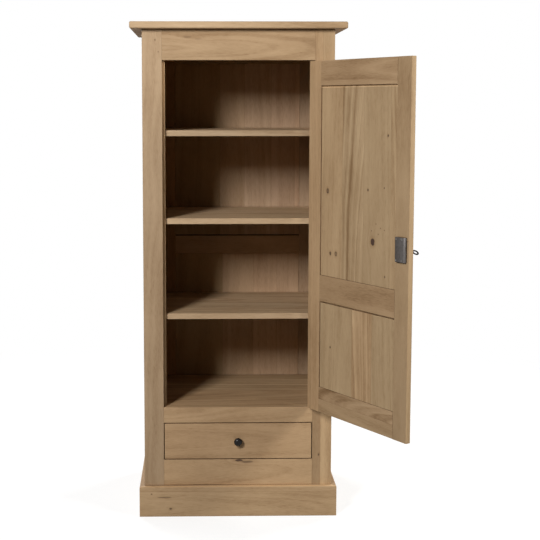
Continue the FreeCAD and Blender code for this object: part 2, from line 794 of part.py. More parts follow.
def make_key():
    """The key: shank, collar, a round bow outside the door and a bit inside the lock."""
    outward = (0, -1, 0)
    length = "bolt_back + key_shank_reach"
    shank = rod("key_shank", "key_shank_radius", length, outward, ("0", "bolt_back", "0"))
    at = ("0", "-escutcheon_thickness - key_clearance", "0")
    collar = rod("key_collar", "key_collar_radius", "key_collar_length", outward, at)
    at, up = ("0", "-key_shank_reach - key_bow_radius", "-key_bow_width / 2"), (0, 0, 1)
    disc = rod("key_bow_disc", "key_bow_radius + key_bow_width / 2", "key_bow_width", up, at)
    eye = rod("key_bow_eye", "key_bow_radius - key_bow_width / 2", "key_bow_width", up, at)
    bow = eased(cut("key_bow", disc, [eye]), ("z-", "z+"), "key_bow_bevel", "Part::Chamfer")
    bit_y = ("bolt_back - key_bit_length", "bolt_back")
    bit = block("key_bit", ("0", "key_bit_radius"), bit_y, centred("0", "key_bit_thickness"))
    key = fused("key_solid", [shank, collar, bow, bit])
    key.Placement.Rotation = FreeCAD.Rotation(FreeCAD.Vector(*outward), value_of("key_tilt"))
    bind(place(key, "key_x", "0", "key_z"), Placement__Rotation__Angle="key_tilt")
    hang(keep(grouped("key_turned", [key]), "door_key"))


def make_drawer():
    """The drawer: lapped front, two sides, back and a bottom held in grooves."""
    bottom_x, bottom_z = ("-drawer_groove_half", "drawer_groove_half"), ("drawer_groove_low", "drawer_groove_high")
    behind_lap = ("drawer_lap_front", "drawer_end")
    bottom = (bottom_x, behind_lap, bottom_z)
    side_x, side_z = ("drawer_inner", "drawer_half"), ("runner_level", "drawer_side_high")
    sides = {
        "drawer_left_side": (flip(side_x, LEFT), behind_lap, side_z),
        "drawer_right_side": (flip(side_x, RIGHT), behind_lap, side_z),
    }
    radius = "knob_screw_radius + screw_clearance"
    hole = rod("drawer_front_hole", radius, "drawer_front_thickness", (0, 1, 0), ("0", "0", "knob_z"))
    front_x, front_z = ("-drawer_half", "drawer_half"), ("drawer_front_low", "drawer_front_high")
    front_y, corners = ("0", "drawer_front_thickness"), ("x-y-", "x+y-", "y-z-", "y-z+")
    recesses = [*sides.values(), bottom]
    board("drawer_front", front_x, front_y, front_z, corners, cuts=recesses, tools=[hole])
    for label, spans in sides.items():
        board(label, *spans, ("x-z+", "x+z+"), cuts=[bottom])
    back_y = ("drawer_end - drawer_side_thickness", "drawer_end")
    back_z = ("drawer_groove_high", "drawer_side_high - drawer_back_drop")
    board("drawer_back", ("-drawer_inner", "drawer_inner"), back_y, back_z, ("y-z+", "y+z+"))
    board("drawer_bottom", *bottom)


def make_knob():
    """The turned knob, with a domed head, and the screw that holds it from inside."""
    body = doc.addObject("PartDesign::Body", "knob_body")
    sketch = sketch_on(body, "XY_Plane", "knob_profile")
    hole = "knob_screw_radius + screw_clearance"
    rim = ("knob_radius", "-knob_rim_reach - knob_rim_width")
    corners = [
        (hole, "0"),
        ("knob_foot_radius", "0"),
        ("knob_foot_radius", "-knob_foot_length"),
        ("knob_neck_radius", "-knob_foot_length"),
        ("knob_neck_radius", "-knob_neck_length"),
        ("knob_radius - knob_rim_bevel", "knob_rim_bevel - knob_rim_reach"),
        ("knob_radius", "-knob_rim_reach"),
        rim,
        ("0", "-knob_reach"),
        ("0", "-knob_screw_depth"),
        (hole, "-knob_screw_depth"),
    ]
    outline(sketch, corners, (corners.index(rim),))
    turned = body.newObject("PartDesign::Revolution", "knob_turned")
    turned.Profile = sketch
    turned.ReferenceAxis = (sketch, ["V_Axis"])
    doc.recompute()
    keep(place(body, z="knob_z"), "drawer_knob")
    at = ("0", "drawer_front_thickness", "knob_z")
    length = "drawer_front_thickness + knob_screw_depth - screw_clearance"
    shank = rod("knob_screw_shank", "knob_screw_radius", length, (0, -1, 0), at)
    head = rod("knob_screw_head", "knob_screw_head_radius", "knob_screw_head_length", (0, 1, 0), at)
    keep(fused("knob_screw_solid", [shank, head]), "knob_screw")


def make_drawer_ways():
    """The battens that carry, guide and hold down the drawer on each side."""
    y = ("frame_thickness", "back_front")
    under = ("drawer_inner - runner_inset", "inner_half")
    beside = ("opening_half", "inner_half")
    ways = {
        "drawer_runner": (under, ("runner_level - runner_height", "runner_level")),
        "drawer_guide": (beside, ("runner_level", "runner_level + guide_height")),
        "drawer_kicker": (under, ("drawer_opening_top", "floor_level - shelf_thickness")),
    }
    for name, side in (("left", LEFT), ("right", RIGHT)):
        for label, (x, z) in ways.items():
            board(f"{name}_{label}", flip(x, side), y, z)


def check_and_write():
    """Stops at the first failed feature, then writes each sub-part's own file."""
    doc.recompute()
    for item in doc.Objects:
        if "Invalid" in item.State or "Error" in item.State:
            raise RuntimeError(f"{item.Label} failed: {item.State}")
    for item in nodes:
        if item.Shape.isNull() or not item.Shape.isValid():
            raise RuntimeError(f"{item.Label} has no valid shape")
    os.makedirs("parts", exist_ok=True)
    for item in nodes:
        item.Shape.exportStep(os.path.join("parts", f"{item.Label}.step"))


fill_sheet()
make_cornice()
make_plinth()
make_face_frame()
make_sides()
make_shelves()
make_back()
make_drawer_ways()
make_door()
make_hinges()
make_lock()
make_escutcheon()
make_key()
make_drawer()
make_knob()
check_and_write()
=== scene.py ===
"""Dresses a tall oak cupboard: grained boards, metal fittings, studio light and the camera."""

import logging
import math
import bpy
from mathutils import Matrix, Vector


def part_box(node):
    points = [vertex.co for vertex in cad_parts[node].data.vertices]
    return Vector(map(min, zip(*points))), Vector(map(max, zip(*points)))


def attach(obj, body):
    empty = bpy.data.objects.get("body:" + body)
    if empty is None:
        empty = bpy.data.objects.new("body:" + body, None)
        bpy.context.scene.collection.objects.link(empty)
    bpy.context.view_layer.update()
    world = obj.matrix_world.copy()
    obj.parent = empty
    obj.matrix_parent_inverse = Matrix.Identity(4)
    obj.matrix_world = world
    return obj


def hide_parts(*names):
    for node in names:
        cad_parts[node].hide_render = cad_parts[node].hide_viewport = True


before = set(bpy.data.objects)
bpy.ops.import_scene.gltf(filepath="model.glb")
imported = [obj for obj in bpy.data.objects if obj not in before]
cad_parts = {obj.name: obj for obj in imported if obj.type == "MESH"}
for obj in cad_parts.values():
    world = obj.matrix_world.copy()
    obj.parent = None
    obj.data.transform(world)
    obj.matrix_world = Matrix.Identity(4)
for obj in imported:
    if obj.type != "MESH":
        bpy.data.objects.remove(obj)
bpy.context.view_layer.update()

import zlib
from abc import ABC, abstractmethod
from collections.abc import Sequence
from dataclasses import dataclass, field
from enum import Enum

import bmesh
import bpy
from bmesh.types import BMEdge, BMesh, BMVert
from bpy.types import Material, Node, NodeSocket, NodeTree
from mathutils import Color, Euler, Matrix, Vector

LOG = logging.getLogger("cupboard")

Colour = tuple[float, float, float]
Point = tuple[float, float, float]
Span = tuple[float, float]
Row = tuple[float, ...]
Feed = float | Sequence[float] | NodeSocket

MILLIMETRES = 1000
WHITE: Colour = (1.0, 1.0, 1.0)
BLACK: Colour = (0.0, 0.0, 0.0)


def linear(red: int, green: int, blue: int) -> Colour:
    """Turns a colour as a screen shows it, from 0 to 255, into the linear one that shaders read."""
    return tuple(Color((red / 255, green / 255, blue / 255)).from_srgb_to_scene_linear())


def turn(angle: float, axis: str) -> Matrix:
    """Returns a turn about one of the axes."""
    return Matrix.Rotation(angle, 4, axis)


def move(x: float, y: float, z: float) -> Matrix:
    """Returns a move along the axes."""
    return Matrix.Translation((x, y, z))


@dataclass(frozen=True)
class Swing:
    """The turn of the open door about its hinge pins."""

    pin: Vector = field(default_factory=lambda: Vector((0.2865, -0.004, 0.0)))
    angle: float = math.radians(121)

    def opening(self) -> Matrix:
        """Returns the move from the closed place to the open one."""
        return Matrix.Translation(self.pin) @ turn(self.angle, "Z") @ Matrix.Translation(-self.pin)


class Tree:
    """Writes the nodes of a shader tree."""

    MIX_INPUTS = (0, 6, 7)
    MIX_OUTPUT = 2
    EDGE_SAMPLES = 4
    EDGE_SPAN = (0.995, 0.80)
    CREVICE_SAMPLES = 6
    CREVICE_SPAN = (0.80, 0.40)

    def __init__(self, tree: NodeTree) -> None:
        """Takes the tree to write in."""
        self.tree = tree

    def feed(self, socket: NodeSocket, value: Feed) -> None:
        """Gives a socket a link or a fixed value.

        Args:
            socket: The input to fill.
            value: Another node's output, a number, a vector or a colour.
        """
        if isinstance(value, NodeSocket):
            self.tree.links.new(value, socket)
        elif socket.type == "RGBA":
            socket.default_value = (*value, 1.0)
        else:
            socket.default_value = value

    def add(self, kind: str, feeds: dict[str | int, Feed] | None = None, **settings: object) -> Node:
        """Adds a node.

        Args:
            kind: The node's type, without its ShaderNode prefix.
            feeds: What goes into its inputs.
            settings: Its other properties.

        Returns:
            The new node.
        """
        node = self.tree.nodes.new(f"ShaderNode{kind}")
        for name, value in settings.items():
            setattr(node, name, value)
        for name, value in (feeds or {}).items():
            self.feed(node.inputs[name], value)
        return node

    def math(self, operation: str, *values: Feed, clamp: bool = False) -> NodeSocket:
        """Returns the result of a Math node's operation, held between 0 and 1 if clamp is set."""
        return self.add("Math", dict(enumerate(values)), operation=operation, use_clamp=clamp).outputs[0]

    def scaled(self, value: Feed, factor: float, offset: float = 0.0) -> NodeSocket:
        """Returns a value times a factor, plus an offset."""
        return self.math("MULTIPLY_ADD", value, factor, offset)

    def swayed(self, value: Feed, size: float) -> NodeSocket:
        """Returns a noise value turned into a sway of up to half a size either way."""
        return self.scaled(value, size, -size / 2)

    def length(self, first: Feed, second: Feed) -> NodeSocket:
        """Returns how far a point is that lies at two values, square to each other."""
        square = self.math("MULTIPLY_ADD", first, first, self.math("MULTIPLY", second, second))
        return self.math("SQRT", square)

    def point(self, x: Feed, y: Feed, z: Feed) -> NodeSocket:
        """Returns a vector made of three values."""
        return self.add("CombineXYZ", {0: x, 1: y, 2: z}).outputs[0]

    def parts(self, vector: Feed) -> tuple[NodeSocket, NodeSocket, NodeSocket]:
        """Returns the three values of a vector."""
        return tuple(self.add("SeparateXYZ", {0: vector}).outputs)

    def noise(self, place: Feed, detail: float, roughness: float = 0.5) -> NodeSocket:
        """Returns soft noise at a place whose unit is the noise's own grain."""
        feeds = {"Vector": place, "Scale": 1.0, "Detail": detail, "Roughness": roughness}
        return self.add("TexNoise", feeds).outputs[0]

    def noise_along(self, value: Feed, detail: float, roughness: float) -> NodeSocket:
        """Returns soft noise along one value."""
        feeds = {"W": value, "Scale": 1.0, "Detail": detail, "Roughness": roughness}
        return self.add("TexNoise", feeds, noise_dimensions="1D").outputs[0]

    def ramp(self, value: Feed, start: float, end: float, low: float = 0.0, high: float = 1.0) -> NodeSocket:
        """Returns a value eased from low, at start and beyond, to high, at end and beyond."""
        feeds = {0: value, 1: start, 2: end, 3: low, 4: high}
        return self.add("MapRange", feeds, interpolation_type="SMOOTHSTEP").outputs[0]

    def tint(self, share: Feed, first: Feed, second: Feed, blend: str = "MIX") -> NodeSocket:
        """Lays one colour over another.

        Args:
            share: How much of the second colour shows.
            first: The colour below.
            second: The colour above.
            blend: The name of the way that they mix.

        Returns:
            The mixed colour.
        """
        node = self.add("Mix", data_type="RGBA", blend_type=blend)
        for number, value in zip(self.MIX_INPUTS, (share, first, second)):
            self.feed(node.inputs[number], value)
        return node.outputs[self.MIX_OUTPUT]

    def stained(self, colour: Feed, *layers: tuple[Feed, Feed]) -> Feed:
        """Darkens or lightens a colour by one stain after another.

        Args:
            colour: The colour below.
            layers: The share and the colour of each stain.

        Returns:
            The stained colour.
        """
        for share, stain in layers:
            colour = self.tint(share, colour, stain, "MULTIPLY")
        return colour

    def blend(self, value: Feed, *colours: Colour) -> NodeSocket:
        """Spreads colours evenly over the values from 0 to 1.

        Args:
            value: What is read.
            colours: The colours, from the one at 0 to the one at 1.

        Returns:
            The colour at the value.
        """
        node = self.add("ValToRGB", {0: value})
        elements = node.color_ramp.elements
        while len(elements) < len(colours):
            elements.new(1.0)
        for number, colour in enumerate(colours):
            elements[number].position = number / (len(colours) - 1)
            elements[number].color = (*colour, 1.0)
        return node.outputs[0]

    def place(self, swing: Swing | None = None) -> NodeSocket:
        """Finds the place on the object.

        Args:
            swing: The turn that the object stands at, if it is on the door.

        Returns:
            The place in metres, as it lies when the door is closed.
        """
        place = self.add("TexCoord").outputs["Object"]
        if swing is None:
            return place
        closing = swing.opening().inverted()
        location, rotation = tuple(closing.translation), tuple(closing.to_euler())
        return self.add("Mapping", {"Vector": place, "Location": location, "Rotation": rotation}).outputs[0]

    def edges(self, radius: float) -> NodeSocket:
        """Finds the outer edges of a piece.

        Args:
            radius: How far from an edge it is still felt.

        Returns:
            A share that is 0 on the flat and 1 at an edge.
        """
        rounded = self.add("Bevel", {"Radius": radius}, samples=self.EDGE_SAMPLES).outputs[0]
        flat = self.add("NewGeometry").outputs["Normal"]
        likeness = self.add("VectorMath", {0: rounded, 1: flat}, operation="DOT_PRODUCT").outputs["Value"]
        return self.ramp(likeness, *self.EDGE_SPAN)

    def crevices(self, reach: float) -> NodeSocket:
        """Returns how deep a point lies in a crevice, from 0 in the open to 1 inside."""
        shelter = self.add("AmbientOcclusion", {"Distance": reach}, samples=self.CREVICE_SAMPLES)
        return self.ramp(shelter.outputs["AO"], *self.CREVICE_SPAN)

    def seen(self) -> NodeSocket:
        """Tells rays that look from rays that light.

        Returns:
            1 for the rays that the camera, a mirror or a glass sends, and 0 for the others.
        """
        path = self.add("LightPath").outputs
        direct = self.math("MAXIMUM", path["Is Camera Ray"], path["Is Glossy Ray"])
        return self.math("MAXIMUM", direct, path["Is Transmission Ray"])


class Shader(Tree):
    """Writes the node tree of one material."""

    def __init__(self, name: str) -> None:
        """Starts a material that holds only its surface shader and output.

        Args:
            name: The material's name.
        """
        self.material: Material = bpy.data.materials.new(name)
        self.material.use_nodes = True
        super().__init__(self.material.node_tree)
        self.surface: Node = self.tree.nodes["Principled BSDF"]

    def coat(self, **feeds: Feed) -> None:
        """Fills inputs of the surface, each named with underscores for spaces."""
        for name, value in feeds.items():
            self.feed(self.surface.inputs[name.replace("_", " ")], value)

    def relief(self, height: Feed, distance: float, strength: float) -> None:
        """Raises the surface by a share of a height, of which 1 stands for a distance in metres."""
        feeds = {"Height": height, "Distance": distance, "Strength": strength}
        self.coat(Normal=self.add("Bump", feeds).outputs[0])


class Grain(Enum):
    """How a board lies, as the numbers of its across, deep and along axes."""

    UPRIGHT = (0, 1, 2)
    UPRIGHT_SIDE = (1, 0, 2)
    SIDEWAYS = (2, 1, 0)
    SIDEWAYS_FLAT = (1, 2, 0)
    BACKWARDS = (2, 0, 1)


class Figure(Enum):
    """How a board was sawn: spread and depth of the heart beside its face, and the tilt of the heart."""

    STRAIGHT = (0.34, 0.09, 0.03)
    MIXED = (0.16, 0.05, 0.07)
    FLAMED = (0.03, 0.030, 0.11)


@dataclass(frozen=True)
class Knot:
    """A knot, a dark streak or a painted shadow line in a board, in metres."""

    across: float
    along: float
    radius: float
    stretch: float = 1.5
    strength: float = 0.85
    hollow: float = 0.0


@dataclass(frozen=True)
class Band:
    """A stretch of a board, in metres, whose tone is a share of the rest."""

    start: float
    end: float
    rise: float


@dataclass(frozen=True)
class Board:
    """One piece of oak: its node, how it lies, and the planks that it is glued from.

    Tones, lives, fades, ashes and asides have a value for each plank, or one for all.
    """

    node: str
    grain: Grain
    figure: Figure = Figure.MIXED
    joints: Row = ()
    tones: Row = (1.0,)
    knots: tuple[Knot, ...] = ()
    lives: Row = (1.0,)
    blush: float = 0.2
    # Lightening of the edges: partly real wear and partly a painted highlight on the arrises.
    wear: float = 0.3
    gloss: float = 0.22
    fades: Row = (0.0,)
    ashes: Row = (0.0,)
    asides: Row = (0.0,)
    # Painted shade: how strongly this board's crevices, corners and gaps are darkened.
    crevice_shade: float = 1.0
    # The edge and tip bands paint light or shade: each one lightens or darkens a stretch of the board.
    edge: Band | None = None
    tip: Band | None = None

    SEEDS = 997
    SEEDS_APART = 10

    @property
    def seed(self) -> float:
        """A number that sets this board's figure apart from the others."""
        return zlib.crc32(self.node.encode()) % self.SEEDS / self.SEEDS_APART


@dataclass(frozen=True)
class Fibre:
    """A noise that is finer across a board than along it, in waves per metre."""

    wide: float
    lengthways: float
    detail: float
    roughness: float = 0.5


@dataclass(frozen=True)
class Oak:
    """Pale oak with a matt oil: growth rings about a heart, pores, streaks and knots, edges rubbed lighter
    that are partly a painted highlight, and painted shade in crevices.
    """

    dark: Colour = linear(130, 102, 71)
    middle: Colour = linear(164, 137, 104)
    light: Colour = linear(183, 156, 122)
    mean_shade: float = 0.5
    pink: Colour = (1.07, 0.975, 0.90)
    olive: Colour = (0.975, 1.0, 0.985)
    blush_luck: float = 0.5
    ashen: Colour = (1.0, 1.01, 1.22)
    plank_shift: float = 5.7
    plank_rings: float = 13.0
    seam_stain: Colour = (0.62, 0.55, 0.48)
    seam_span: Span = (0.0006, 0.0001)
    waves: Fibre = Fibre(2.4, 1.0, 1.0)
    wave_size: float = 0.045
    ripples: Fibre = Fibre(20.0, 6.0, 3.0)
    ripple_size: float = 0.010
    least_lean: float = 1 / 3
    ring_rate: float = 52.0
    ring_noise: Span = (4.0, 0.5)
    ring_span: Span = (0.24, 0.76)
    ring_contrast: float = 0.42
    ring_luck: Span = (0.5, 0.65)
    ring_height: float = 0.35
    ring_sheen: float = 0.16
    fibres: Fibre = Fibre(340.0, 40.0, 4.0, 0.62)
    fibre_contrast: float = 0.6
    fibre_height: Span = (0.35, 0.3)
    patches: Fibre = Fibre(12.0, 3.2, 5.0, 0.56)
    patch_contrast: float = 1.25
    patch_life: Span = (0.35, 0.5)
    streaks: Fibre = Fibre(30.0, 1.0, 3.0)
    streak_stain: Colour = (0.80, 0.75, 0.70)
    streak_span: Span = (0.58, 0.80)
    streak_share: float = 0.4
    pores: Fibre = Fibre(420.0, 34.0, 2.0)
    pore_stain: Colour = (0.72, 0.66, 0.60)
    pore_span: Span = (0.56, 0.70)
    pore_rings: Row = (0.62, 0.36, 0.25, 1.0)
    pore_share: float = 0.55
    pore_depth: float = 0.55
    pore_matt: float = 0.18
    # Painted highlight and wear: the colour that lightens edges, partly real rubbing and partly a painted
    # highlight on lit arrises.
    rubbed: Colour = (1.25, 1.23, 1.19)
    rub_reach: float = 0.0022
    rub_patches: Row = (0.25, 0.65, 0.35, 1.0)
    rub_sheen: float = 0.07
    # Painted shade: the colour that darkens crevices, corners and gaps where ambient occlusion finds them.
    crevice_shade: Colour = (0.42, 0.35, 0.29)
    crevice_shade_reach: float = 0.006
    heart_stain: Colour = linear(64, 46, 38)
    heart_span: Span = (1.05, 0.75)
    heart_depth: float = 0.5
    hollow_span: Span = (0.7, 0.4)
    halo_stain: Colour = (0.70, 0.62, 0.54)
    halo_span: Span = (2.2, 1.0)
    halo_share: float = 0.55
    knot_rate: float = 1.3
    knot_detail: float = 3.0
    knot_sway: float = 0.7
    bend_span: Span = (5.0, 0.0)
    bend_share: float = 1.8
    most_bend: float = 0.02
    roughness: float = 0.68
    relief_depth: float = 0.0004
    relief_share: float = 0.5


class BoardShader(Shader):
    """Paints one board of oak."""

    def __init__(self, oak: Oak, board: Board, swing: Swing | None) -> None:
        """Finds a point's place on the board, its plank, and the knots, rings and pores there.

        Args:
            oak: The finish.
            board: The board.
            swing: The turn that its door stands at, if it is on the door.
        """
        super().__init__(f"oak_{board.node}")
        self.oak, self.board = oak, board
        low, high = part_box(board.node)
        middle = (low + high) / 2
        if swing:
            middle = swing.opening().inverted() @ middle
        axes = self.parts(self.place(swing))
        self.across, self.deep, self.along = (axes[number] for number in board.grain.value)
        self.centre = [middle[number] for number in board.grain.value]
        self.plank, self.seam, traits = self._planks()
        self.tone, self.life, self.fade, self.ash, self.aside = traits
        self.halo, self.heart, self.bend = self._knots()
        chance = self.math("ADD", self.plank, board.seed)
        luck = self.add("TexWhiteNoise", {"W": chance}, noise_dimensions="1D")
        self.luck = self.parts(luck.outputs["Color"])
        self.rings = self._rings()
        self.fibres = self._grain(oak.fibres)
        self.patches = self._grain(oak.patches)
        pores = self.ramp(self._grain(oak.pores), *oak.pore_span)
        self.pores = self.math("MULTIPLY", pores, self.ramp(self.rings, *oak.pore_rings))
        # Edges rubbed lighter: partly real wear and partly a painted highlight on the arrises.
        rubbed = self.ramp(self.patches, *oak.rub_patches)
        self.rub_and_highlight = self.math("MULTIPLY", self.edges(oak.rub_reach), rubbed)

    def paint(self) -> Material:
        """Paints the board.

        Returns:
            The material.
        """
        self.coat(Base_Color=self._marked(self._ground()), Specular_IOR_Level=self.board.gloss)
        self._polish()
        return self.material

    def _planks(self) -> tuple[Feed, Feed, list[Feed]]:
        """Finds which of the board's planks a point is on.

        Returns:
            The plank's number, how near the glued seam is, and the plank's tone, liveliness, fade along its
            length, ash and place beside the heart.
        """
        board, plank, seam = self.board, 0.0, 0.0
        rows = (board.tones, board.lives, board.fades, board.ashes, board.asides)
        rows = [row if len(row) > 1 else row * (len(board.joints) + 1) for row in rows]
        traits = [row[0] for row in rows]
        for number, joint in enumerate(board.joints):
            past = self.math("GREATER_THAN", self.across, joint)
            plank = self.math("ADD", past, plank)
            traits = [
                self.math("MULTIPLY_ADD", past, row[number + 1] - row[number], trait)
                for row, trait in zip(rows, traits)
            ]
            gap = self.math("ABSOLUTE", self.scaled(self.across, 1.0, -joint))
            seam = self.math("MAXIMUM", self.ramp(gap, *self.oak.seam_span), seam)
        return plank, seam, traits

    def _knots(self) -> tuple[Feed, Feed, Feed]:
        """Draws the board's knots, streaks and painted shadow lines.

        Returns:
            The stained ring round the knots, their dark hearts, and how far they push the growth rings aside.
        """
        oak, halo, heart, bend = self.oak, 0.0, 0.0, 0.0
        for knot in self.board.knots:
            half = knot.radius * knot.stretch
            wide = self.scaled(self.across, 1 / knot.radius, -knot.across / knot.radius)
            long = self.scaled(self.along, 1 / half, -knot.along / half)
            spot = self.point(self.scaled(wide, oak.knot_rate), self.scaled(long, oak.knot_rate), knot.along)
            ragged = self.swayed(self.noise(spot, oak.knot_detail), oak.knot_sway)
            reach = self.math("ADD", self.length(wide, long), ragged)
            core = self.ramp(reach, *oak.heart_span, 0.0, knot.strength)
            pale = self.ramp(reach, *oak.hollow_span, 0.0, knot.strength * knot.hollow)
            heart = self.math("MAXIMUM", self.math("SUBTRACT", core, pale), heart)
            stain = self.ramp(reach, *oak.halo_span, 0.0, knot.strength * oak.halo_share)
            halo = self.math("MAXIMUM", stain, halo)
            push = min(knot.radius * oak.bend_share, oak.most_bend)
            bend = self.math("ADD", self.ramp(reach, *oak.bend_span, 0.0, push), bend)
        return halo, heart, bend

    def _grain(self, fibre: Fibre) -> NodeSocket:
        """Draws a noise along the grain, with another stretch of it on each plank.

        Args:
            fibre: How fine it is.

        Returns:
            The noise.
        """
        start = self.scaled(self.along, fibre.lengthways, self.board.seed)
        along = self.math("MULTIPLY_ADD", self.plank, self.oak.plank_shift, start)
        across, deep = (self.scaled(axis, fibre.wide) for axis in (self.across, self.deep))
        return self.noise(self.point(across, deep, along), fibre.detail, fibre.roughness)

    def _rings(self) -> NodeSocket:
        """Draws the growth rings about the heart that each plank was sawn beside.

        Returns:
            The rings, from 0 in the dark ones to 1 in the pale ones.
        """
        oak, (first, second, third) = self.oak, self.luck
        spread, depth, tilt = self.board.figure.value
        aside = self.scaled(self.across, 1.0, -self.centre[0])
        aside = self.math("SUBTRACT", aside, self.swayed(first, spread))
        aside = self.math("ADD", aside, self.aside)
        below = self.scaled(self.deep, 1.0, depth - self.centre[1])
        below = self.math("ADD", below, self.scaled(second, depth))
        along = self.scaled(self.along, 1.0, -self.centre[2])
        lean = self.math("MULTIPLY", along, self.scaled(third, tilt, tilt * oak.least_lean))
        below = self.math("ADD", below, lean)
        reach = self.math("ADD", self.length(aside, below), self.bend)
        for fibre, size in ((oak.waves, oak.wave_size), (oak.ripples, oak.ripple_size)):
            reach = self.math("ADD", reach, self.swayed(self._grain(fibre), size))
        start = self.scaled(reach, oak.ring_rate, self.board.seed)
        count = self.math("MULTIPLY_ADD", self.plank, oak.plank_rings, start)
        return self.ramp(self.noise_along(count, *oak.ring_noise), *oak.ring_span)

    def _ground(self) -> Feed:
        """Mixes the colour of the bare wood.

        Returns:
            The colour, before any marks.
        """
        oak, board = self.oak, self.board
        _, second, third = self.luck
        swell = self.math("MULTIPLY", self.life, self.scaled(second, *oak.ring_luck))
        fibres = self.swayed(self.fibres, oak.fibre_contrast)
        value = self.math("MULTIPLY_ADD", self.swayed(self.rings, oak.ring_contrast), swell, fibres)
        clouds = self.swayed(self.patches, oak.patch_contrast)
        clouds = self.math("MULTIPLY", clouds, self.scaled(self.life, *oak.patch_life))
        value = self.scaled(self.math("ADD", value, clouds), 1.0, oak.mean_shade)
        tone = self.math("MULTIPLY_ADD", self.fade, self.scaled(self.along, 1.0, -self.centre[2]), self.tone)
        # Painted light and shade: the edge and tip bands lighten or darken a stretch of the board.
        for way, band in ((self.across, board.edge), (self.along, board.tip)):
            if band:
                past = self.math("GREATER_THAN", way, band.start)
                within = self.math("MULTIPLY", past, self.math("LESS_THAN", way, band.end))
                tone = self.math("MULTIPLY", tone, self.scaled(within, band.rise - 1.0, 1.0))
        warmth = self.tint(self.scaled(third, oak.blush_luck, board.blush), oak.olive, oak.pink)
        layers = ((1.0, self.point(tone, tone, tone)), (1.0, warmth), (self.ash, oak.ashen))
        return self.stained(self.blend(value, oak.dark, oak.middle, oak.light), *layers)

    def _marked(self, colour: Feed) -> Feed:
        """Lays streaks, pores, knots and seams over the wood, lightens its edges by wear and a painted
        highlight, and paints shade in its crevices.

        Args:
            colour: The colour of the bare wood.

        Returns:
            The finished colour.
        """
        oak, board = self.oak, self.board
        share = self.math("MULTIPLY", self.life, oak.streak_share, clamp=True)
        streaks = self.math("MULTIPLY", self.ramp(self._grain(oak.streaks), *oak.streak_span), share)
        pores = self.scaled(self.pores, oak.pore_share)
        colour = self.stained(
            colour, (streaks, oak.streak_stain), (pores, oak.pore_stain), (self.halo, oak.halo_stain)
        )
        colour = self.tint(self.heart, colour, oak.heart_stain)
        # Painted highlight and wear: the board's edges are lightened, more on boards with more wear.
        rub_and_highlight = self.scaled(self.rub_and_highlight, board.wear)
        # Painted shade: crevices, corners and gaps are darkened by ambient occlusion, more or less on each
        # board.
        crevice_shade = self.scaled(self.crevices(oak.crevice_shade_reach), board.crevice_shade)
        return self.stained(colour, (self.seam, oak.seam_stain), (rub_and_highlight, oak.rubbed), (crevice_shade, oak.crevice_shade))

    def _polish(self) -> None:
        """Sets how matt the board is and its relief."""
        oak = self.oak
        matt = self.scaled(self.rings, -oak.ring_sheen, oak.roughness)
        matt = self.math("MULTIPLY_ADD", self.pores, oak.pore_matt, matt)
        self.coat(Roughness=self.math("SUBTRACT", matt, self.scaled(self.rub_and_highlight, oak.rub_sheen)))
        height = self.scaled(self.fibres, *oak.fibre_height)
        height = self.math("MULTIPLY_ADD", self.rings, oak.ring_height, height)
        height = self.math("SUBTRACT", height, self.scaled(self.pores, oak.pore_depth))
        sunk = self.math("ADD", self.seam, self.scaled(self.heart, oak.heart_depth))
        self.relief(self.math("SUBTRACT", height, sunk), oak.relief_depth, oak.relief_share)


@dataclass(frozen=True)
class Metal:
    """A finish of metal or lacquer: drawn marks, stains and edges rubbed bright."""

    name: str
    base: Colour
    stain: Colour
    bright: Colour
    roughness: float
    metallic: float = 1.0
    wear: float = 0.8
    gloss: float = 0.5
    drawn: Point = (900.0, 900.0, 60.0)
    mark_detail: float = 3.0
    mark_matt: float = 0.22
    stain_rate: float = 90.0
    stain_noise: Span = (5.0, 0.6)
    stain_span: Span = (0.42, 0.72)
    stain_matt: float = 0.16
    stain_height: float = 0.6
    edge_reach: float = 0.0007
    wear_span: Span = (0.3, 0.6)
    least_wear: float = 0.5
    wear_sheen: float = 0.1
    mean_matt: float = 0.13
    relief_depth: float = 0.00008
    relief_share: float = 0.5

    def material(self, swing: Swing | None = None) -> Material:
        """Makes the finish.

        Args:
            swing: The turn of the door, for fittings that are on it.

        Returns:
            The material.
        """
        shader = Shader(self.name if swing is None else f"{self.name}_on_door")
        axes = shader.parts(shader.place(swing))
        lines = shader.point(*(shader.scaled(axis, rate) for axis, rate in zip(axes, self.drawn)))
        marks = shader.noise(lines, self.mark_detail)
        spots = shader.point(*(shader.scaled(axis, self.stain_rate) for axis in axes))
        stains = shader.ramp(shader.noise(spots, *self.stain_noise), *self.stain_span)
        rubbed = shader.ramp(marks, *self.wear_span, self.least_wear, self.wear)
        worn = shader.math("MULTIPLY", shader.edges(self.edge_reach), rubbed)
        matt = shader.scaled(stains, self.stain_matt, self.roughness - self.mean_matt)
        matt = shader.math("MULTIPLY_ADD", marks, self.mark_matt, matt)
        shader.coat(
            Base_Color=shader.tint(worn, shader.tint(stains, self.base, self.stain), self.bright),
            Roughness=shader.math("SUBTRACT", matt, shader.scaled(worn, self.wear_sheen)),
            Metallic=self.metallic,
            Specular_IOR_Level=self.gloss,
        )
        height = shader.math("ADD", marks, shader.scaled(stains, self.stain_height))
        shader.relief(height, self.relief_depth, self.relief_share)
        return shader.material


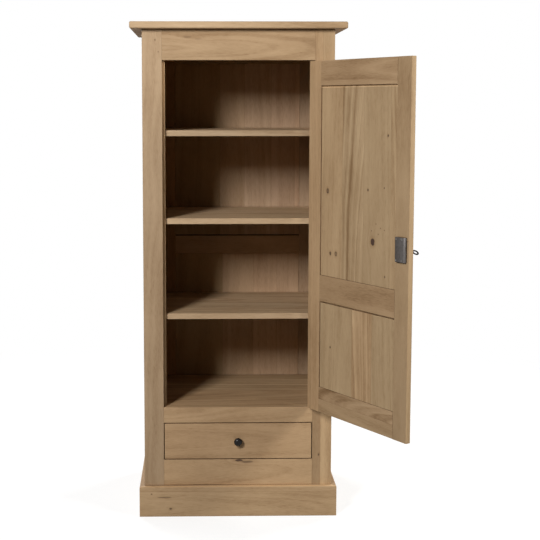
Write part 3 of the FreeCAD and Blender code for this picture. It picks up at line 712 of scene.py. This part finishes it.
HINGE_STEEL = Metal("dull_hinge_steel", (0.33, 0.31, 0.29), (0.17, 0.13, 0.10), (0.62, 0.60, 0.57), 0.42)
SCREW_STEEL = Metal("bright_screw_steel", (0.46, 0.45, 0.43), (0.26, 0.22, 0.18), (0.72, 0.70, 0.67), 0.34)
LOCK_SCREW_STEEL = Metal(
    "dull_lock_screw_steel", (0.24, 0.23, 0.22), (0.15, 0.13, 0.12), (0.5, 0.49, 0.47), 0.42
)
LOCK_STEEL = Metal("satin_lock_steel", (0.128, 0.117, 0.111), (0.100, 0.090, 0.084), (0.60, 0.59, 0.58), 0.44)
KEY_IRON = Metal(
    "dark_key_iron", (0.014, 0.012, 0.011), (0.009, 0.007, 0.006), (0.05, 0.045, 0.04), 0.55, 0.0, 0.3, 0.03
)
PLATE_BRASS = Metal("aged_plate_brass", (0.30, 0.21, 0.10), (0.11, 0.075, 0.04), (0.62, 0.47, 0.24), 0.40)
KNOB_BLACK = Metal(
    "satin_knob_black", (0.006, 0.0045, 0.0044), (0.010, 0.0075, 0.007), (0.03, 0.025, 0.022), 0.14, 0.0, 0.3,
    0.18, relief_depth=0.00002,
)


def soften(form: BMesh, edges: Sequence[BMEdge], size: float, segments: int) -> None:
    """Rounds some edges of a form by a size, with a number of facets across the rounding."""
    bmesh.ops.bevel(
        form, geom=edges, offset=size, offset_type="OFFSET", segments=segments, profile=0.5, affect="EDGES",
        material=-1, clamp_overlap=True,
    )


def brick(low: Sequence[float], high: Sequence[float]) -> BMesh:
    """Makes a rectangular block.

    Args:
        low: Its lowest corner.
        high: Its highest corner.

    Returns:
        The block.
    """
    form, low, high = bmesh.new(), Vector(low), Vector(high)
    stretch = Matrix.Diagonal((*(high - low), 1.0))
    bmesh.ops.create_cube(form, size=1.0, matrix=Matrix.Translation((low + high) / 2) @ stretch)
    return form


def cone(radii: Span, length: float, steps: int, middle: float) -> BMesh:
    """Makes a round bar or cone along Z.

    Args:
        radii: The radius at its lower and at its upper end.
        length: Its length.
        steps: The number of facets round it.
        middle: The height of its middle.

    Returns:
        The cone.
    """
    form = bmesh.new()
    bmesh.ops.create_cone(
        form, cap_ends=True, segments=steps, radius1=radii[0], radius2=radii[1], depth=length,
        matrix=move(0, 0, middle),
    )
    return form


class Mesher:
    """Shapes one new piece and hangs it on a body of the cupboard."""

    MERGE = 1e-6
    CUT = 1e-7
    UPWARD = 0.9
    SHARP = 0.5
    SMOOTH = math.radians(38)
    EASE_SEGMENTS = 3
    HEAD_STEPS = 28
    SLOT_DEPTH = 0.45

    def __init__(self, name: str) -> None:
        """Starts an empty mesh for a piece of this name."""
        self.name = name
        self.mesh = bmesh.new()

    def turned(self, profile: Sequence[Span], steps: int, matrix: Matrix, ease: float) -> None:
        """Turns a profile about the Z axis and rounds its sharp rings.

        Args:
            profile: Radius and height of each corner, from end to end or once round.
            steps: The number of facets round the axis.
            matrix: Where the turned form goes.
            ease: The size of the rounding.
        """
        form = bmesh.new()
        points = [form.verts.new((radius, 0.0, height)) for radius, height in profile]
        runs = [form.edges.new(pair) for pair in zip(points, points[1:])]
        bmesh.ops.spin(
            form, geom=[*points, *runs], cent=(0, 0, 0), axis=(0, 0, 1), angle=math.tau, steps=steps,
            use_merge=True,
        )
        bmesh.ops.remove_doubles(form, verts=form.verts[:], dist=self.MERGE)
        self.add(form, matrix, ease)

    def barrel(self, radii: Span, length: float, steps: int, matrix: Matrix) -> None:
        """Adds a round bar or cone that starts at the origin and runs along Z."""
        self.add(cone(radii, length, steps, length / 2), matrix, 0.0)

    def slotted(self, radii: Span, height: float, slot: float, matrix: Matrix, ease: float) -> None:
        """Adds a slotted screw head whose flat top lies in the XY plane and faces up.

        Args:
            radii: The radius of the underside and of the top.
            height: The height of the head.
            slot: The width of the slot.
            matrix: Where the head goes.
            ease: The size of the rounding on its edges.
        """
        form = cone(radii, height, self.HEAD_STEPS, -height / 2)
        for side in (-1, 1):
            bmesh.ops.bisect_plane(
                form, geom=[*form.verts, *form.edges, *form.faces], dist=self.CUT,
                plane_co=(side * slot / 2, 0, 0), plane_no=(1, 0, 0),
            )
        top = [face for face in form.faces if face.normal.z > self.UPWARD]
        floor = [face for face in top if abs(face.calc_center_median().x) < slot / 2]
        sunk = bmesh.ops.extrude_face_region(form, geom=floor)
        lowered = [item for item in sunk["geom"] if isinstance(item, BMVert)]
        bmesh.ops.translate(form, vec=(0, 0, -height * self.SLOT_DEPTH), verts=lowered)
        bmesh.ops.delete(form, geom=floor, context="FACES_ONLY")
        self.add(form, matrix, ease)

    def add(self, form: BMesh, matrix: Matrix, ease: float) -> None:
        """Rounds a form's sharp edges, turns its faces outwards and adds it to the piece.

        Args:
            form: The form.
            matrix: Where it goes.
            ease: The size of the rounding, or 0 for none.
        """
        bmesh.ops.recalc_face_normals(form, faces=form.faces[:])
        closed = [edge for edge in form.edges if len(edge.link_faces) == 2]
        sharp = [edge for edge in closed if edge.calc_face_angle() > self.SHARP]
        if ease and sharp:
            soften(form, sharp, ease, self.EASE_SEGMENTS)
        bmesh.ops.transform(form, matrix=matrix, verts=form.verts[:])
        part = bpy.data.meshes.new("part")
        form.to_mesh(part)
        form.free()
        self.mesh.from_mesh(part)
        bpy.data.meshes.remove(part)

    def hang(self, body: str, slot: str, material: Material, nodes: Sequence[str] = ()) -> None:
        """Makes the piece's object.

        Args:
            body: The body that it rides on.
            slot: Not used.
            material: Its finish.
            nodes: The CAD nodes that it stands for.
        """
        data = bpy.data.meshes.new(self.name)
        self.mesh.to_mesh(data)
        self.mesh.free()
        data.polygons.foreach_set("use_smooth", [True] * len(data.polygons))
        data.set_sharp_from_angle(angle=self.SMOOTH)
        data.materials.append(material)
        piece = bpy.data.objects.new(self.name, data)
        bpy.context.scene.collection.objects.link(piece)
        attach(piece, body)
        if nodes:
            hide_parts(*nodes)
        LOG.info("%s: %d faces on %s", self.name, len(data.polygons), body)


def dress(node: str, material: Material) -> None:
    """Gives a CAD node its finish.

    Args:
        node: The node's name.
        material: The finish.
    """
    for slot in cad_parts[node].material_slots:
        slot.material = material
    LOG.info("%s wears %s", node, material.name)


@dataclass
class Woodwork(ABC):
    """A sub-assembly of oak boards."""

    oak: Oak
    swing: Swing | None = None

    @abstractmethod
    def boards(self) -> list[Board]:
        """Returns every board of the sub-assembly."""

    def dress(self) -> None:
        """Gives every board its oak."""
        for board in self.boards():
            dress(board.node, BoardShader(self.oak, board, self.swing).paint())


@dataclass
class Carcass(Woodwork):
    """The fixed woodwork: sides, face frame, cornice, plinth, shelves, back and drawer ways."""

    side_joints: Row = (0.148, 0.287, 0.421)
    shelf_joints: Row = (0.166, 0.291, 0.402)
    cornice_joints: Row = (0.104, 0.247, 0.396)
    floor_joints: Row = (0.142, 0.271, 0.397)
    back_joints: Row = (-0.061, 0.043, 0.156, 0.257)
    back_lower_joints: Row = (-0.051, 0.082, 0.184)
    # Painted shade: the upper back panel is darkened in the gap at its foot.
    back_gap_shade: Band = Band(0.0, 1.0405, 0.3)
    # Painted highlight: the plinth's top face is lightened.
    plinth_top_highlight: Band = Band(0.1172, 1.0, 1.35)
    # Painted light and shade: the shelves' front edges are lightened or darkened, one share for each shelf.
    shelf_front_light: Span = (0.0, 0.0336)
    shelf_tones: Row = (1.27, 1.22, 1.30, 1.25)

    def boards(self) -> list[Board]:
        """Returns every board of the carcass."""
        return [*self._outside(), *self._back(), *self._shelves(), *self._drawer_ways()]

    def _outside(self) -> list[Board]:
        """Lists the boards round the outside, the floor and the door's stop.

        Returns:
            The boards.
        """
        upright, sideways, flat = Grain.UPRIGHT, Grain.SIDEWAYS, Grain.SIDEWAYS_FLAT
        side, straight = Grain.UPRIGHT_SIDE, Figure.STRAIGHT
        nicks_and_shadow_line = (
            Knot(-0.313, 1.833, 0.0028, 1.3, 0.45), Knot(-0.301, 1.789, 0.0024, 1.3, 0.45),
            # Painted shadow: a thin dark line across the stile's foot, along the top of the plinth.
            Knot(-0.325, 0.119, 0.06, 0.02, 0.6),
        )
        streaks = (Knot(1.844, -0.192, 0.004, 4.0, 0.22), Knot(1.836, -0.150, 0.003, 5.0, 0.2))
        rail_knots_and_shadow_line = (
            Knot(0.2165, 0.004, 0.0050, 3.2, 0.85), Knot(0.2105, 0.036, 0.0050, 5.0, 0.55),
            # Painted shadow: a thin dark line along the rail's foot, above the plinth.
            Knot(0.119, -0.16, 0.0016, 95.0, 0.75),
        )
        plinth_knots = (
            Knot(0.0770, -0.286, 0.0026, 11.0, 0.55), Knot(0.0310, -0.262, 0.0038, 1.4, 0.75),
            Knot(0.0900, -0.336, 0.0024, 1.4, 0.7),
        )
        return [
            Board(
                "left_side", side, joints=self.side_joints, tones=(1.0, 1.04, 0.97, 1.02), blush=0.6,
                gloss=0.06,
            ),
            Board("right_side", side, joints=self.side_joints, tones=(1.02, 0.97, 1.03, 0.98), gloss=0.1),
            # Painted light and shade: the left stile gets lighter towards the top, as the light falls off
            # down it.
            Board(
                "left_stile", upright, straight, tones=(1.01,), lives=(0.6,), blush=0.0, ashes=(0.3,),
                fades=(0.11,), crevice_shade=0.3, knots=nicks_and_shadow_line,
            ),
            Board(
                "right_stile", upright, straight, (0.3187,), (0.93, 1.115),
                (Knot(0.3135, 0.238, 0.0030, 1.8, 0.7),), lives=(0.7,), fades=(0.085, -0.135), crevice_shade=0.5,
            ),
            Board(
                "top_rail", sideways, Figure.FLAMED, tones=(0.97,), lives=(1.1,), crevice_shade=0.3, knots=streaks
            ),
            Board("middle_rail", sideways, tones=(1.08,), lives=(0.6,)),
            Board("lower_rail", sideways, tones=(1.11,), lives=(0.9,), knots=rail_knots_and_shadow_line),
            Board(
                "cornice", flat, joints=self.cornice_joints, tones=(1.28, 1.04, 1.1, 1.05), blush=-0.1,
                ashes=(0.3,), wear=0.8, gloss=0.06,
            ),
            Board(
                "plinth_front", sideways, joints=(0.0985,), tones=(1.08, 1.05), knots=plinth_knots,
                lives=(0.6,), wear=0.8, edge=self.plinth_top_highlight,
            ),
            Board("plinth_left", Grain.BACKWARDS),
            Board("plinth_right", Grain.BACKWARDS),
            Board("cupboard_floor", flat, joints=self.floor_joints, tones=(1.08, 1.05, 1.1, 1.07)),
            # Painted light: the door's stop is lighter than the other boards and lighter still towards the
            # top, standing in for light that falls on it, and its crevices are hardly darkened.
            Board("door_stop", upright, straight, tones=(1.3,), fades=(0.7,), crevice_shade=0.2),
        ]

    def _back(self) -> list[Board]:
        """Lists the boards of the framed back.

        Returns:
            The boards.
        """
        upright, sideways = Grain.UPRIGHT, Grain.SIDEWAYS
        matt = {"figure": Figure.STRAIGHT, "lives": (0.45,), "gloss": 0.01, "wear": 0.6, "crevice_shade": 0.5}
        pale = {"blush": -0.1, **matt}
        rails = (("top", 0.3), ("middle", 0.5), ("bottom", 0.6))
        return [
            # Painted light and shade: the back's boards get lighter and cooler from the shaded left to the
            # lit right, and the left stile is redder.
            Board("back_left_stile", upright, tones=(0.98,), blush=0.9, **matt),
            Board("back_right_stile", upright, tones=(1.12,), ashes=(0.75,), **pale),
            *(
                Board(f"back_{level}_rail", sideways, tones=(1.08,), ashes=(ash,), **pale)
                for level, ash in rails
            ),
            # Painted light and shade: the planks get lighter and more ashen from left to right, the fade
            # makes the panel lighter towards the top, and the gap at its foot is darkened.
            Board(
                "back_upper_panel", upright, joints=self.back_joints, tones=(0.94, 1.06, 1.22, 1.22, 1.33),
                ashes=(0.0, 0.5, 0.75, 0.85, 0.85), fades=(0.4,), tip=self.back_gap_shade, **pale,
            ),
            # Painted light and shade: the planks get lighter and more ashen from left to right.
            Board(
                "back_lower_panel", upright, joints=self.back_lower_joints, tones=(0.98, 1.10, 1.24, 1.23),
                ashes=(0.0, 0.5, 0.65, 0.65), **pale,
            ),
        ]

    def _shelves(self) -> list[Board]:
        """Returns the shelves, each with its own share of the tones, painted light or shade on its front
        edge, and blush.
        """
        # The third number of each look is the painted light or shade on that shelf's front edge.
        looks = (("upper", 1.0, 0.93, 0.0), ("middle", 1.02, 1.10, -0.1), ("lower", 0.92, 1.03, -0.2))
        return [
            Board(
                f"{level}_shelf", Grain.SIDEWAYS_FLAT, joints=self.shelf_joints, blush=blush, ashes=(0.25,),
                tones=tuple(tone * share for tone in self.shelf_tones), edge=Band(*self.shelf_front_light, rise),
            )
            for level, share, rise, blush in looks
        ]

    def _drawer_ways(self) -> list[Board]:
        """Returns the strips that the drawer slides between."""
        return [
            Board(f"{side}_drawer_{way}", Grain.BACKWARDS, Figure.STRAIGHT)
            for side in ("left", "right")
            for way in ("runner", "guide", "kicker")
        ]


@dataclass
class Door(Woodwork):
    """The framed door: stiles, rails and panels, as they lie when it is closed."""

    hinge_edge: float = 0.2855
    # Painted highlight: the door's free edge is lightened.
    free_edge_highlight: Band = Band(-1.0, -0.2849, 1.30)
    # Painted highlight: the top arris of the upper panel's field is lightened.
    field_top_highlight: Band = Band(1.654, 9.0, 1.45)

    def knot(
        self, reach: float, level: float, radius: float, stretch: float = 1.4, strength: float = 0.8,
        hollow: float = 0.0,
    ) -> Knot:
        """Returns a knot from its reach from the hinge edge, level and radius in millimetres."""
        across = self.hinge_edge - reach / MILLIMETRES
        return Knot(across, level / MILLIMETRES, radius / MILLIMETRES, stretch, strength, hollow)

    def seams(self, *reaches: float) -> Row:
        """Returns the places of glued seams from their reach, in millimetres, from the hinge edge."""
        return tuple(sorted(self.hinge_edge - reach / MILLIMETRES for reach in reaches))

    def boards(self) -> list[Board]:
        """Lists the boards.

        Returns:
            Every board of the door.
        """
        upright, sideways, straight = Grain.UPRIGHT, Grain.SIDEWAYS, Figure.STRAIGHT
        pins = ((395, 1176), (420, 1163), (441, 1158), (408, 1141), (371, 1150))
        upper_knots = (
            self.knot(116, 1275, 7.0, 1.5, 1.0, 0.45), self.knot(349, 1293, 3.6, strength=0.9),
            self.knot(437, 1305, 2.4), self.knot(454, 1486, 3.4, strength=0.9),
            self.knot(378, 1111, 11.0, 1.3, 0.97), self.knot(135, 1044, 5.5, 1.5),
            self.knot(168, 1046, 7.0, 1.4, 0.85, 0.55), self.knot(446, 995, 3.0),
            *(self.knot(reach, level, 2.0, 1.2, 0.65) for reach, level in pins),
        )
        stile_knots = (self.knot(84, 1270, 3.2, 2.2, 0.95),)
        lower_knots = (self.knot(139, 691, 3.2, strength=0.95),)
        return [
            Board(
                "door_hinge_stile", upright, straight, tones=(1.05,), lives=(0.7,), blush=0.5,
                knots=stile_knots,
            ),
            Board("door_lock_stile", upright, straight, tones=(0.91,), fades=(0.07,), edge=self.free_edge_highlight),
            Board("door_top_rail", sideways, Figure.FLAMED, tones=(0.87,), lives=(1.7,), blush=0.6),
            Board("door_lock_rail", sideways, straight, tones=(0.88,), lives=(0.8,)),
            Board("door_bottom_rail", sideways, Figure.FLAMED, (0.481,), (0.96, 0.85), lives=(0.8, 3.2)),
            # Painted highlight: the field's top is lightened, and more wear lightens its arrises, partly as a
            # painted highlight.
            Board(
                "door_upper_panel", upright, joints=self.seams(203, 324, 470), tones=(1.03, 1.01, 0.98, 1.10),
                knots=upper_knots, lives=(0.8, 0.4, 2.0, 0.4), asides=(0.0, 0.0, 0.12, 0.0), blush=-0.15,
                wear=1.0, tip=self.field_top_highlight,
            ),
            Board(
                "door_lower_panel", upright, joints=self.seams(267, 379), tones=(1.03, 1.07, 1.07),
                knots=lower_knots, lives=(0.5, 1.8, 0.5), blush=0.0, wear=1.0,
            ),
        ]


@dataclass
class Drawer(Woodwork):
    """The drawer's woodwork."""

    bottom_joints: Row = (0.172, 0.338)

    def boards(self) -> list[Board]:
        """Returns every board of the drawer."""
        sideways, straight = Grain.SIDEWAYS, Figure.STRAIGHT
        return [
            # More wear lightens the drawer front's arrises, partly as a painted highlight.
            Board("drawer_front", sideways, Figure.FLAMED, tones=(1.05,), lives=(0.8,), blush=0.55, wear=1.3),
            Board("drawer_left_side", Grain.BACKWARDS, straight),
            Board("drawer_right_side", Grain.BACKWARDS, straight),
            Board("drawer_back", sideways, straight),
            Board("drawer_bottom", Grain.SIDEWAYS_FLAT, joints=self.bottom_joints, tones=(1.0, 0.98, 1.02)),
        ]


@dataclass
class Knob:
    """The turned knob of the drawer, with the screw that holds it from inside."""

    level: float = 0.294
    front: float = 0.0
    inside: float = 0.020
    stem: tuple[Span, ...] = (
        (0.0, 0.0), (0.009, 0.0), (0.009, 0.0016), (0.0078, 0.0030), (0.0066, 0.0036), (0.006, 0.0056),
        (0.0065, 0.0076), (0.0086, 0.0094), (0.0120, 0.0112), (0.0148, 0.0130),
    )
    radius: float = 0.016
    belly: float = 0.0152
    reach: float = 0.027
    ease: float = 0.0004
    dome_steps: int = 10
    round_steps: int = 72
    head_radii: Span = (0.0045, 0.00423)
    head_length: float = 0.0025
    head_ease: float = 0.0002
    slot: float = 0.0011
    shank_radius: float = 0.002
    shank_length: float = 0.031
    shank_steps: int = 20

    def build(self) -> None:
        """Turns the knob on the drawer's front and sets the screw behind it."""
        outward = move(0, self.front, self.level) @ turn(math.pi / 2, "X")
        rise = self.reach - self.belly
        angles = [math.pi / 2 * step / self.dome_steps for step in range(self.dome_steps)]
        head = [(self.radius * math.cos(way), self.belly + rise * math.sin(way)) for way in angles]
        knob = Mesher("turned_knob")
        knob.turned([*self.stem, *head, (0.0, self.reach)], self.round_steps, outward, self.ease)
        knob.hang("drawer", "knob_black", KNOB_BLACK.material(), ["drawer_knob"])
        inward = move(0, self.inside, self.level) @ turn(-math.pi / 2, "X")
        screw = Mesher("knob_screw_slotted")
        top = inward @ move(0, 0, self.head_length)
        screw.slotted(self.head_radii, self.head_length, self.slot, top, self.head_ease)
        shank = inward @ turn(math.pi, "X")
        screw.barrel((self.shank_radius, self.shank_radius), self.shank_length, self.shank_steps, shank)
        screw.hang("drawer", "screw_steel", SCREW_STEEL.material(), ["knob_screw"])


@dataclass(frozen=True)
class WoodScrew:
    """A slotted screw with a sunk head and a tapered shank."""

    shank_length: float
    rise: float = 0.0
    head_radius: float = 0.003
    head_length: float = 0.0016
    slot: float = 0.0009
    shank_radius: float = 0.0015
    tip_radius: float = 0.0009
    shank_steps: int = 16

    def drive(self, screws: Mesher, seat: Matrix, angle: float) -> None:
        """Drives the screw into a seat.

        Args:
            screws: The piece that it belongs to.
            seat: The middle of its head, with Z out of the wood.
            angle: How far its slot is turned.
        """
        head = seat @ move(0, 0, self.rise) @ turn(angle, "Z")
        screws.slotted((self.shank_radius, self.head_radius), self.head_length, self.slot, head, 0.0)
        shank = seat @ move(0, 0, -self.head_length) @ turn(math.pi, "X")
        screws.barrel((self.shank_radius, self.tip_radius), self.shank_length, self.shank_steps, shank)


@dataclass
class Hinges:
    """The three butt hinges and their slotted screws."""

    swing: Swing
    levels: Row = (1.645, 1.092, 0.539)
    pitch: float = 0.028
    steps: tuple[int, ...] = (-1, 0, 1)
    depth: float = 0.008
    leaf_gap: float = 0.0001
    screw: WoodScrew = WoodScrew(0.014)
    slot_turn: float = 0.7

    def build(self) -> None:
        """Dresses the leaves and pins and sets a slotted screw in every hole."""
        on_frame, on_door = HINGE_STEEL.material(), HINGE_STEEL.material(self.swing)
        for level in ("top", "middle", "bottom"):
            dress(f"{level}_hinge_frame_leaf", on_frame)
            dress(f"{level}_hinge_pin", on_frame)
            dress(f"{level}_hinge_door_leaf", on_door)
        screws = self._screws("frame_leaf_screws", 1, Matrix.Identity(4))
        screws.hang("carcass", "screw_steel", SCREW_STEEL.material(), ["frame_hinge_screws"])
        screws = self._screws("door_leaf_screws", -1, self.swing.opening())
        screws.hang("door", "screw_steel", SCREW_STEEL.material(self.swing), ["door_hinge_screws"])

    def _screws(self, name: str, side: int, opening: Matrix) -> Mesher:
        """Sets the screws of the three leaves on one side.

        Args:
            name: The new piece's name.
            side: 1 for the frame's leaves and -1 for the door's.
            opening: The move from the closed place to the place at rest.

        Returns:
            The piece.
        """
        screws = Mesher(name)
        outward = turn(side * math.pi / 2, "Y") @ turn(math.pi, "X")
        for number, level in enumerate(self.levels):
            for step in self.steps:
                at = move(self.swing.pin.x + side * self.leaf_gap, self.depth, level + step * self.pitch)
                angle = self.slot_turn * (len(self.steps) * number + step)
                self.screw.drive(screws, opening @ at @ outward, angle)
        return screws


@dataclass
class Lock:
    """The rim lock with its screws, and the plate round the keyhole."""

    swing: Swing
    case_low: Point = (-0.2755, 0.020, 1.057)
    case_high: Point = (-0.2255, 0.031, 1.143)
    edge_round: float = 0.0075
    edge_segments: int = 10
    case_ease: float = 0.0012
    screw: WoodScrew = WoodScrew(0.0234, 0.0004)
    screw_across: Row = (-0.2605, -0.232)
    screw_levels: Row = (1.0635, 1.1365)
    slot_turns: Span = (0.9, 1.7)
    plate_middle: Point = (-0.2565, -0.0015, 1.088)
    pin_reach: float = 0.0185
    pin_dome: tuple[Span, ...] = (
        (0.0, -0.0006), (0.0013, -0.0006), (0.0013, 0.0001), (0.0010, 0.0006), (0.0005, 0.0008),
        (0.0, 0.0009),
    )
    pin_steps: int = 24

    def build(self) -> None:
        """Dresses the case, bolt and plate, and makes the screws and plate pins."""
        steel = LOCK_STEEL.material(self.swing)
        self._case(steel)
        dress("lock_bolt", steel)
        brass = PLATE_BRASS.material(self.swing)
        dress("keyhole_escutcheon", brass)
        self._screws()
        self._plate_pins(brass)

    def _case(self, steel: Material) -> None:
        """Makes the case, whose long edge beside the door's free edge is well rounded.

        Args:
            steel: Its finish.
        """
        form = brick(self.case_low, self.case_high)
        middle = (Vector(self.case_low) + Vector(self.case_high)) / 2
        long_edge = [
            edge for edge in form.edges
            if all(vert.co.x < middle.x and vert.co.y > middle.y for vert in edge.verts)
        ]
        soften(form, long_edge, self.edge_round, self.edge_segments)
        case = Mesher("rounded_lock_case")
        case.add(form, self.swing.opening(), self.case_ease)
        case.hang("door", "lock_steel", steel, ["lock_case"])

    def _screws(self) -> None:
        """Sets four slotted screws flush in the lock case."""
        screws = Mesher("lock_case_screws")
        _, face, _ = self.case_high
        across_turn, level_turn = self.slot_turns
        for number, across in enumerate(self.screw_across):
            for step, level in enumerate(self.screw_levels):
                seat = self.swing.opening() @ move(across, face, level) @ turn(-math.pi / 2, "X")
                self.screw.drive(screws, seat, across_turn * number + level_turn * step)
        screws.hang("door", "screw_steel", LOCK_SCREW_STEEL.material(self.swing), ["lock_screws"])

    def _plate_pins(self, brass: Material) -> None:
        """Drives a domed pin through each end of the plate.

        Args:
            brass: The plate's own finish.
        """
        pins = Mesher("plate_pins")
        across, face, level = self.plate_middle
        for side in (-1, 1):
            at = self.swing.opening() @ move(across, face, level + side * self.pin_reach)
            pins.turned(self.pin_dome, self.pin_steps, at @ turn(math.pi / 2, "X"), 0.0)
        pins.hang("door", "plate_brass", brass)


@dataclass
class Key:
    """The key: a ring bow, a shank with collars and a notched bit."""

    swing: Swing
    across: float = -0.2565
    level: float = 1.088
    tilt: float = math.radians(33)
    end: float = -0.0278
    radius: float = 0.0025
    collars: tuple[Span, ...] = (
        (0.0025, 0.0022), (0.0038, 0.0024), (0.0040, 0.0032), (0.0038, 0.0040), (0.0026, 0.0043),
        (0.0025, 0.0150), (0.0034, 0.0158), (0.0036, 0.0166), (0.0034, 0.0174), (0.0026, 0.0182),
        (0.0024, 0.0236), (0.0016, 0.0246), (0.0, 0.0250),
    )
    shank_steps: int = 36
    shank_ease: float = 0.00015
    bow_reach: float = 0.035
    bow_radius: float = 0.0098
    bow_wire: float = 0.0030
    bow_squeeze: float = 0.80
    bow_steps: int = 56
    wire_steps: int = 20
    bit_root: float = 0.0018
    bit_reach: float = 0.008
    bit_half: float = 0.0015
    bit_teeth: tuple[Span, ...] = ((0.0, 0.0019), (0.0031, 0.0050))
    bit_ease: float = 0.0002
    web_reach: float = 0.0062
    web: Span = (0.0010, 0.0040)

    def build(self) -> None:
        """Makes the key in the lock."""
        outward = turn(-self.tilt, "Y") @ turn(math.pi / 2, "X")
        seat = self.swing.opening() @ move(self.across, 0.0, self.level) @ outward
        key = Mesher("turned_key")
        shank = [(0.0, self.end), (self.radius, self.end), *self.collars]
        key.turned(shank, self.shank_steps, seat, self.shank_ease)
        bow = seat @ move(0, 0, self.bow_reach) @ turn(math.pi / 2, "X")
        key.turned(self._wire(), self.bow_steps, bow, 0.0)
        for tooth in self.bit_teeth:
            key.add(self._bit(tooth, self.bit_reach), seat, self.bit_ease)
        key.add(self._bit(self.web, self.web_reach), seat, 0.0)
        key.hang("door_key", "key_steel", KEY_IRON.material(self.swing), ["door_key"])

    def _wire(self) -> list[Span]:
        """Draws the outline of the bow's wire.

        Returns:
            Radius and height of its corners, once round.
        """
        tall = self.bow_wire * self.bow_squeeze
        angles = [math.tau * step / self.wire_steps for step in range(self.wire_steps + 1)]
        return [(self.bow_radius + self.bow_wire * math.cos(way), tall * math.sin(way)) for way in angles]

    def _bit(self, span: Span, reach: float) -> BMesh:
        """Makes a block of the bit.

        Args:
            span: Where it starts and ends, from the end of the key.
            reach: How far it stands out from the middle of the shank.

        Returns:
            The block.
        """
        low, high = (self.end + way for way in span)
        return brick((self.bit_root, -self.bit_half, low), (reach, self.bit_half, high))


@dataclass(frozen=True)
class Lamp:
    """A soft lamp: its place, the point that it faces, its width and height, its watts and its colour."""

    name: str
    at: Point
    aim: Point
    size: Span
    power: float
    colour: Colour = WHITE

    def build(self) -> None:
        """Sets the lamp."""
        data = bpy.data.lights.new(self.name, "AREA")
        data.shape, data.energy, data.color = "RECTANGLE", self.power, self.colour
        data.size, data.size_y = self.size
        lamp = bpy.data.objects.new(self.name, data)
        lamp.location = self.at
        lamp.rotation_euler = (Vector(self.aim) - Vector(self.at)).to_track_quat("-Z", "Y").to_euler()
        bpy.context.scene.collection.objects.link(lamp)
        LOG.info("%s: %.0f W", self.name, self.power)


@dataclass
class Studio:
    """The pale floor, the white surround and the soft lamps."""

    floor_half: float = 9.0
    floor_level: float = -0.0003
    floor_colour: Colour = (0.36, 0.36, 0.355)
    floor_fade: Span = (1.0, 3.2)
    glow_near: float = 0.70
    ambient: float = 0.003
    lamps: tuple[Lamp, ...] = (
        Lamp("key_lamp", (-2.15, -3.9, 3.25), (0.0, 0.1, 1.1), (0.9, 1.4), 225.0, (0.995, 1.0, 1.03)),
        Lamp("right_lamp", (3.5, -2.05, 2.6), (0.3, -0.2, 1.1), (0.9, 0.9), 100.0, (1.0, 1.0, 0.98)),
        Lamp("left_back_lamp", (-2.6, 4.6, 2.7), (0.0, 0.3, 0.9), (2.0, 2.0), 190.0),
        Lamp("right_back_lamp", (3.6, 3.4, 2.7), (0.0, 0.3, 0.9), (2.0, 2.0), 190.0),
    )

    def build(self) -> None:
        """Lays the floor, lights the surround and sets the lamps."""
        self._floor()
        self._surround()
        for lamp in self.lamps:
            lamp.build()

    def _floor(self) -> None:
        """Lays a pale floor that keeps the cupboard's shadow and fades to white."""
        form, level = bmesh.new(), move(0, 0, self.floor_level)
        bmesh.ops.create_grid(form, x_segments=1, y_segments=1, size=self.floor_half, matrix=level)
        data = bpy.data.meshes.new("floor")
        form.to_mesh(data)
        form.free()
        shader = Shader("pale_floor")
        shader.tree.nodes.remove(shader.surface)
        x, y, _ = shader.parts(shader.place())
        far = shader.ramp(shader.length(x, y), *self.floor_fade)
        glow = shader.scaled(far, 1.0 - self.glow_near, self.glow_near)
        glow = shader.math("MULTIPLY", shader.seen(), glow)
        matt = shader.add("BsdfDiffuse", {"Color": shader.tint(far, self.floor_colour, BLACK)})
        shine = shader.add("Emission", {"Color": WHITE, "Strength": glow})
        both = shader.add("AddShader", {0: matt.outputs[0], 1: shine.outputs[0]})
        shader.feed(shader.tree.nodes["Material Output"].inputs["Surface"], both.outputs[0])
        data.materials.append(shader.material)
        floor = bpy.data.objects.new("floor", data)
        bpy.context.scene.collection.objects.link(floor)

    def _surround(self) -> None:
        """Makes the surround white to the eye and dim as a light."""
        world = bpy.data.worlds.new("surround")
        world.use_nodes = True
        bpy.context.scene.world = world
        nodes = Tree(world.node_tree)
        level = nodes.add("MapRange", {"Value": nodes.seen(), "To Min": self.ambient}).outputs[0]
        back = nodes.tree.nodes["Background"]
        nodes.feed(back.inputs["Color"], WHITE)
        nodes.feed(back.inputs["Strength"], level)


@dataclass
class Viewpoint:
    """The camera: near the photograph's, but tilted so that its shift is small and no other view is cut."""

    place: Point = (-0.1407, -4.3486, 1.5894)
    yaw: float = math.radians(1.147)
    pitch: float = math.radians(6.0)
    lens: float = 76.625
    sensor: float = 36.0
    shift: Span = (0.0847, -0.0811)

    def build(self) -> None:
        """Sets the camera and the plain view."""
        data = bpy.data.cameras.new("camera")
        data.lens, data.sensor_width = self.lens, self.sensor
        data.shift_x, data.shift_y = self.shift
        camera = bpy.data.objects.new("camera", data)
        camera.location = self.place
        camera.rotation_euler = Euler((math.pi / 2 - self.pitch, 0.0, -self.yaw))
        scene = bpy.context.scene
        scene.collection.objects.link(camera)
        scene.camera = camera
        scene.view_settings.view_transform = "Standard"


def main() -> None:
    """Sets the camera and the studio, then builds and dresses the cupboard."""
    logging.basicConfig(level=logging.INFO, format="%(name)s: %(message)s")
    oak, swing = Oak(), Swing()
    Viewpoint().build()
    Studio().build()
    for woodwork in (Carcass(oak), Door(oak, swing), Drawer(oak)):
        woodwork.dress()
    for fitting in (Knob(), Hinges(swing), Lock(swing), Key(swing)):
        fitting.build()


if __name__ == "__main__":
    main()
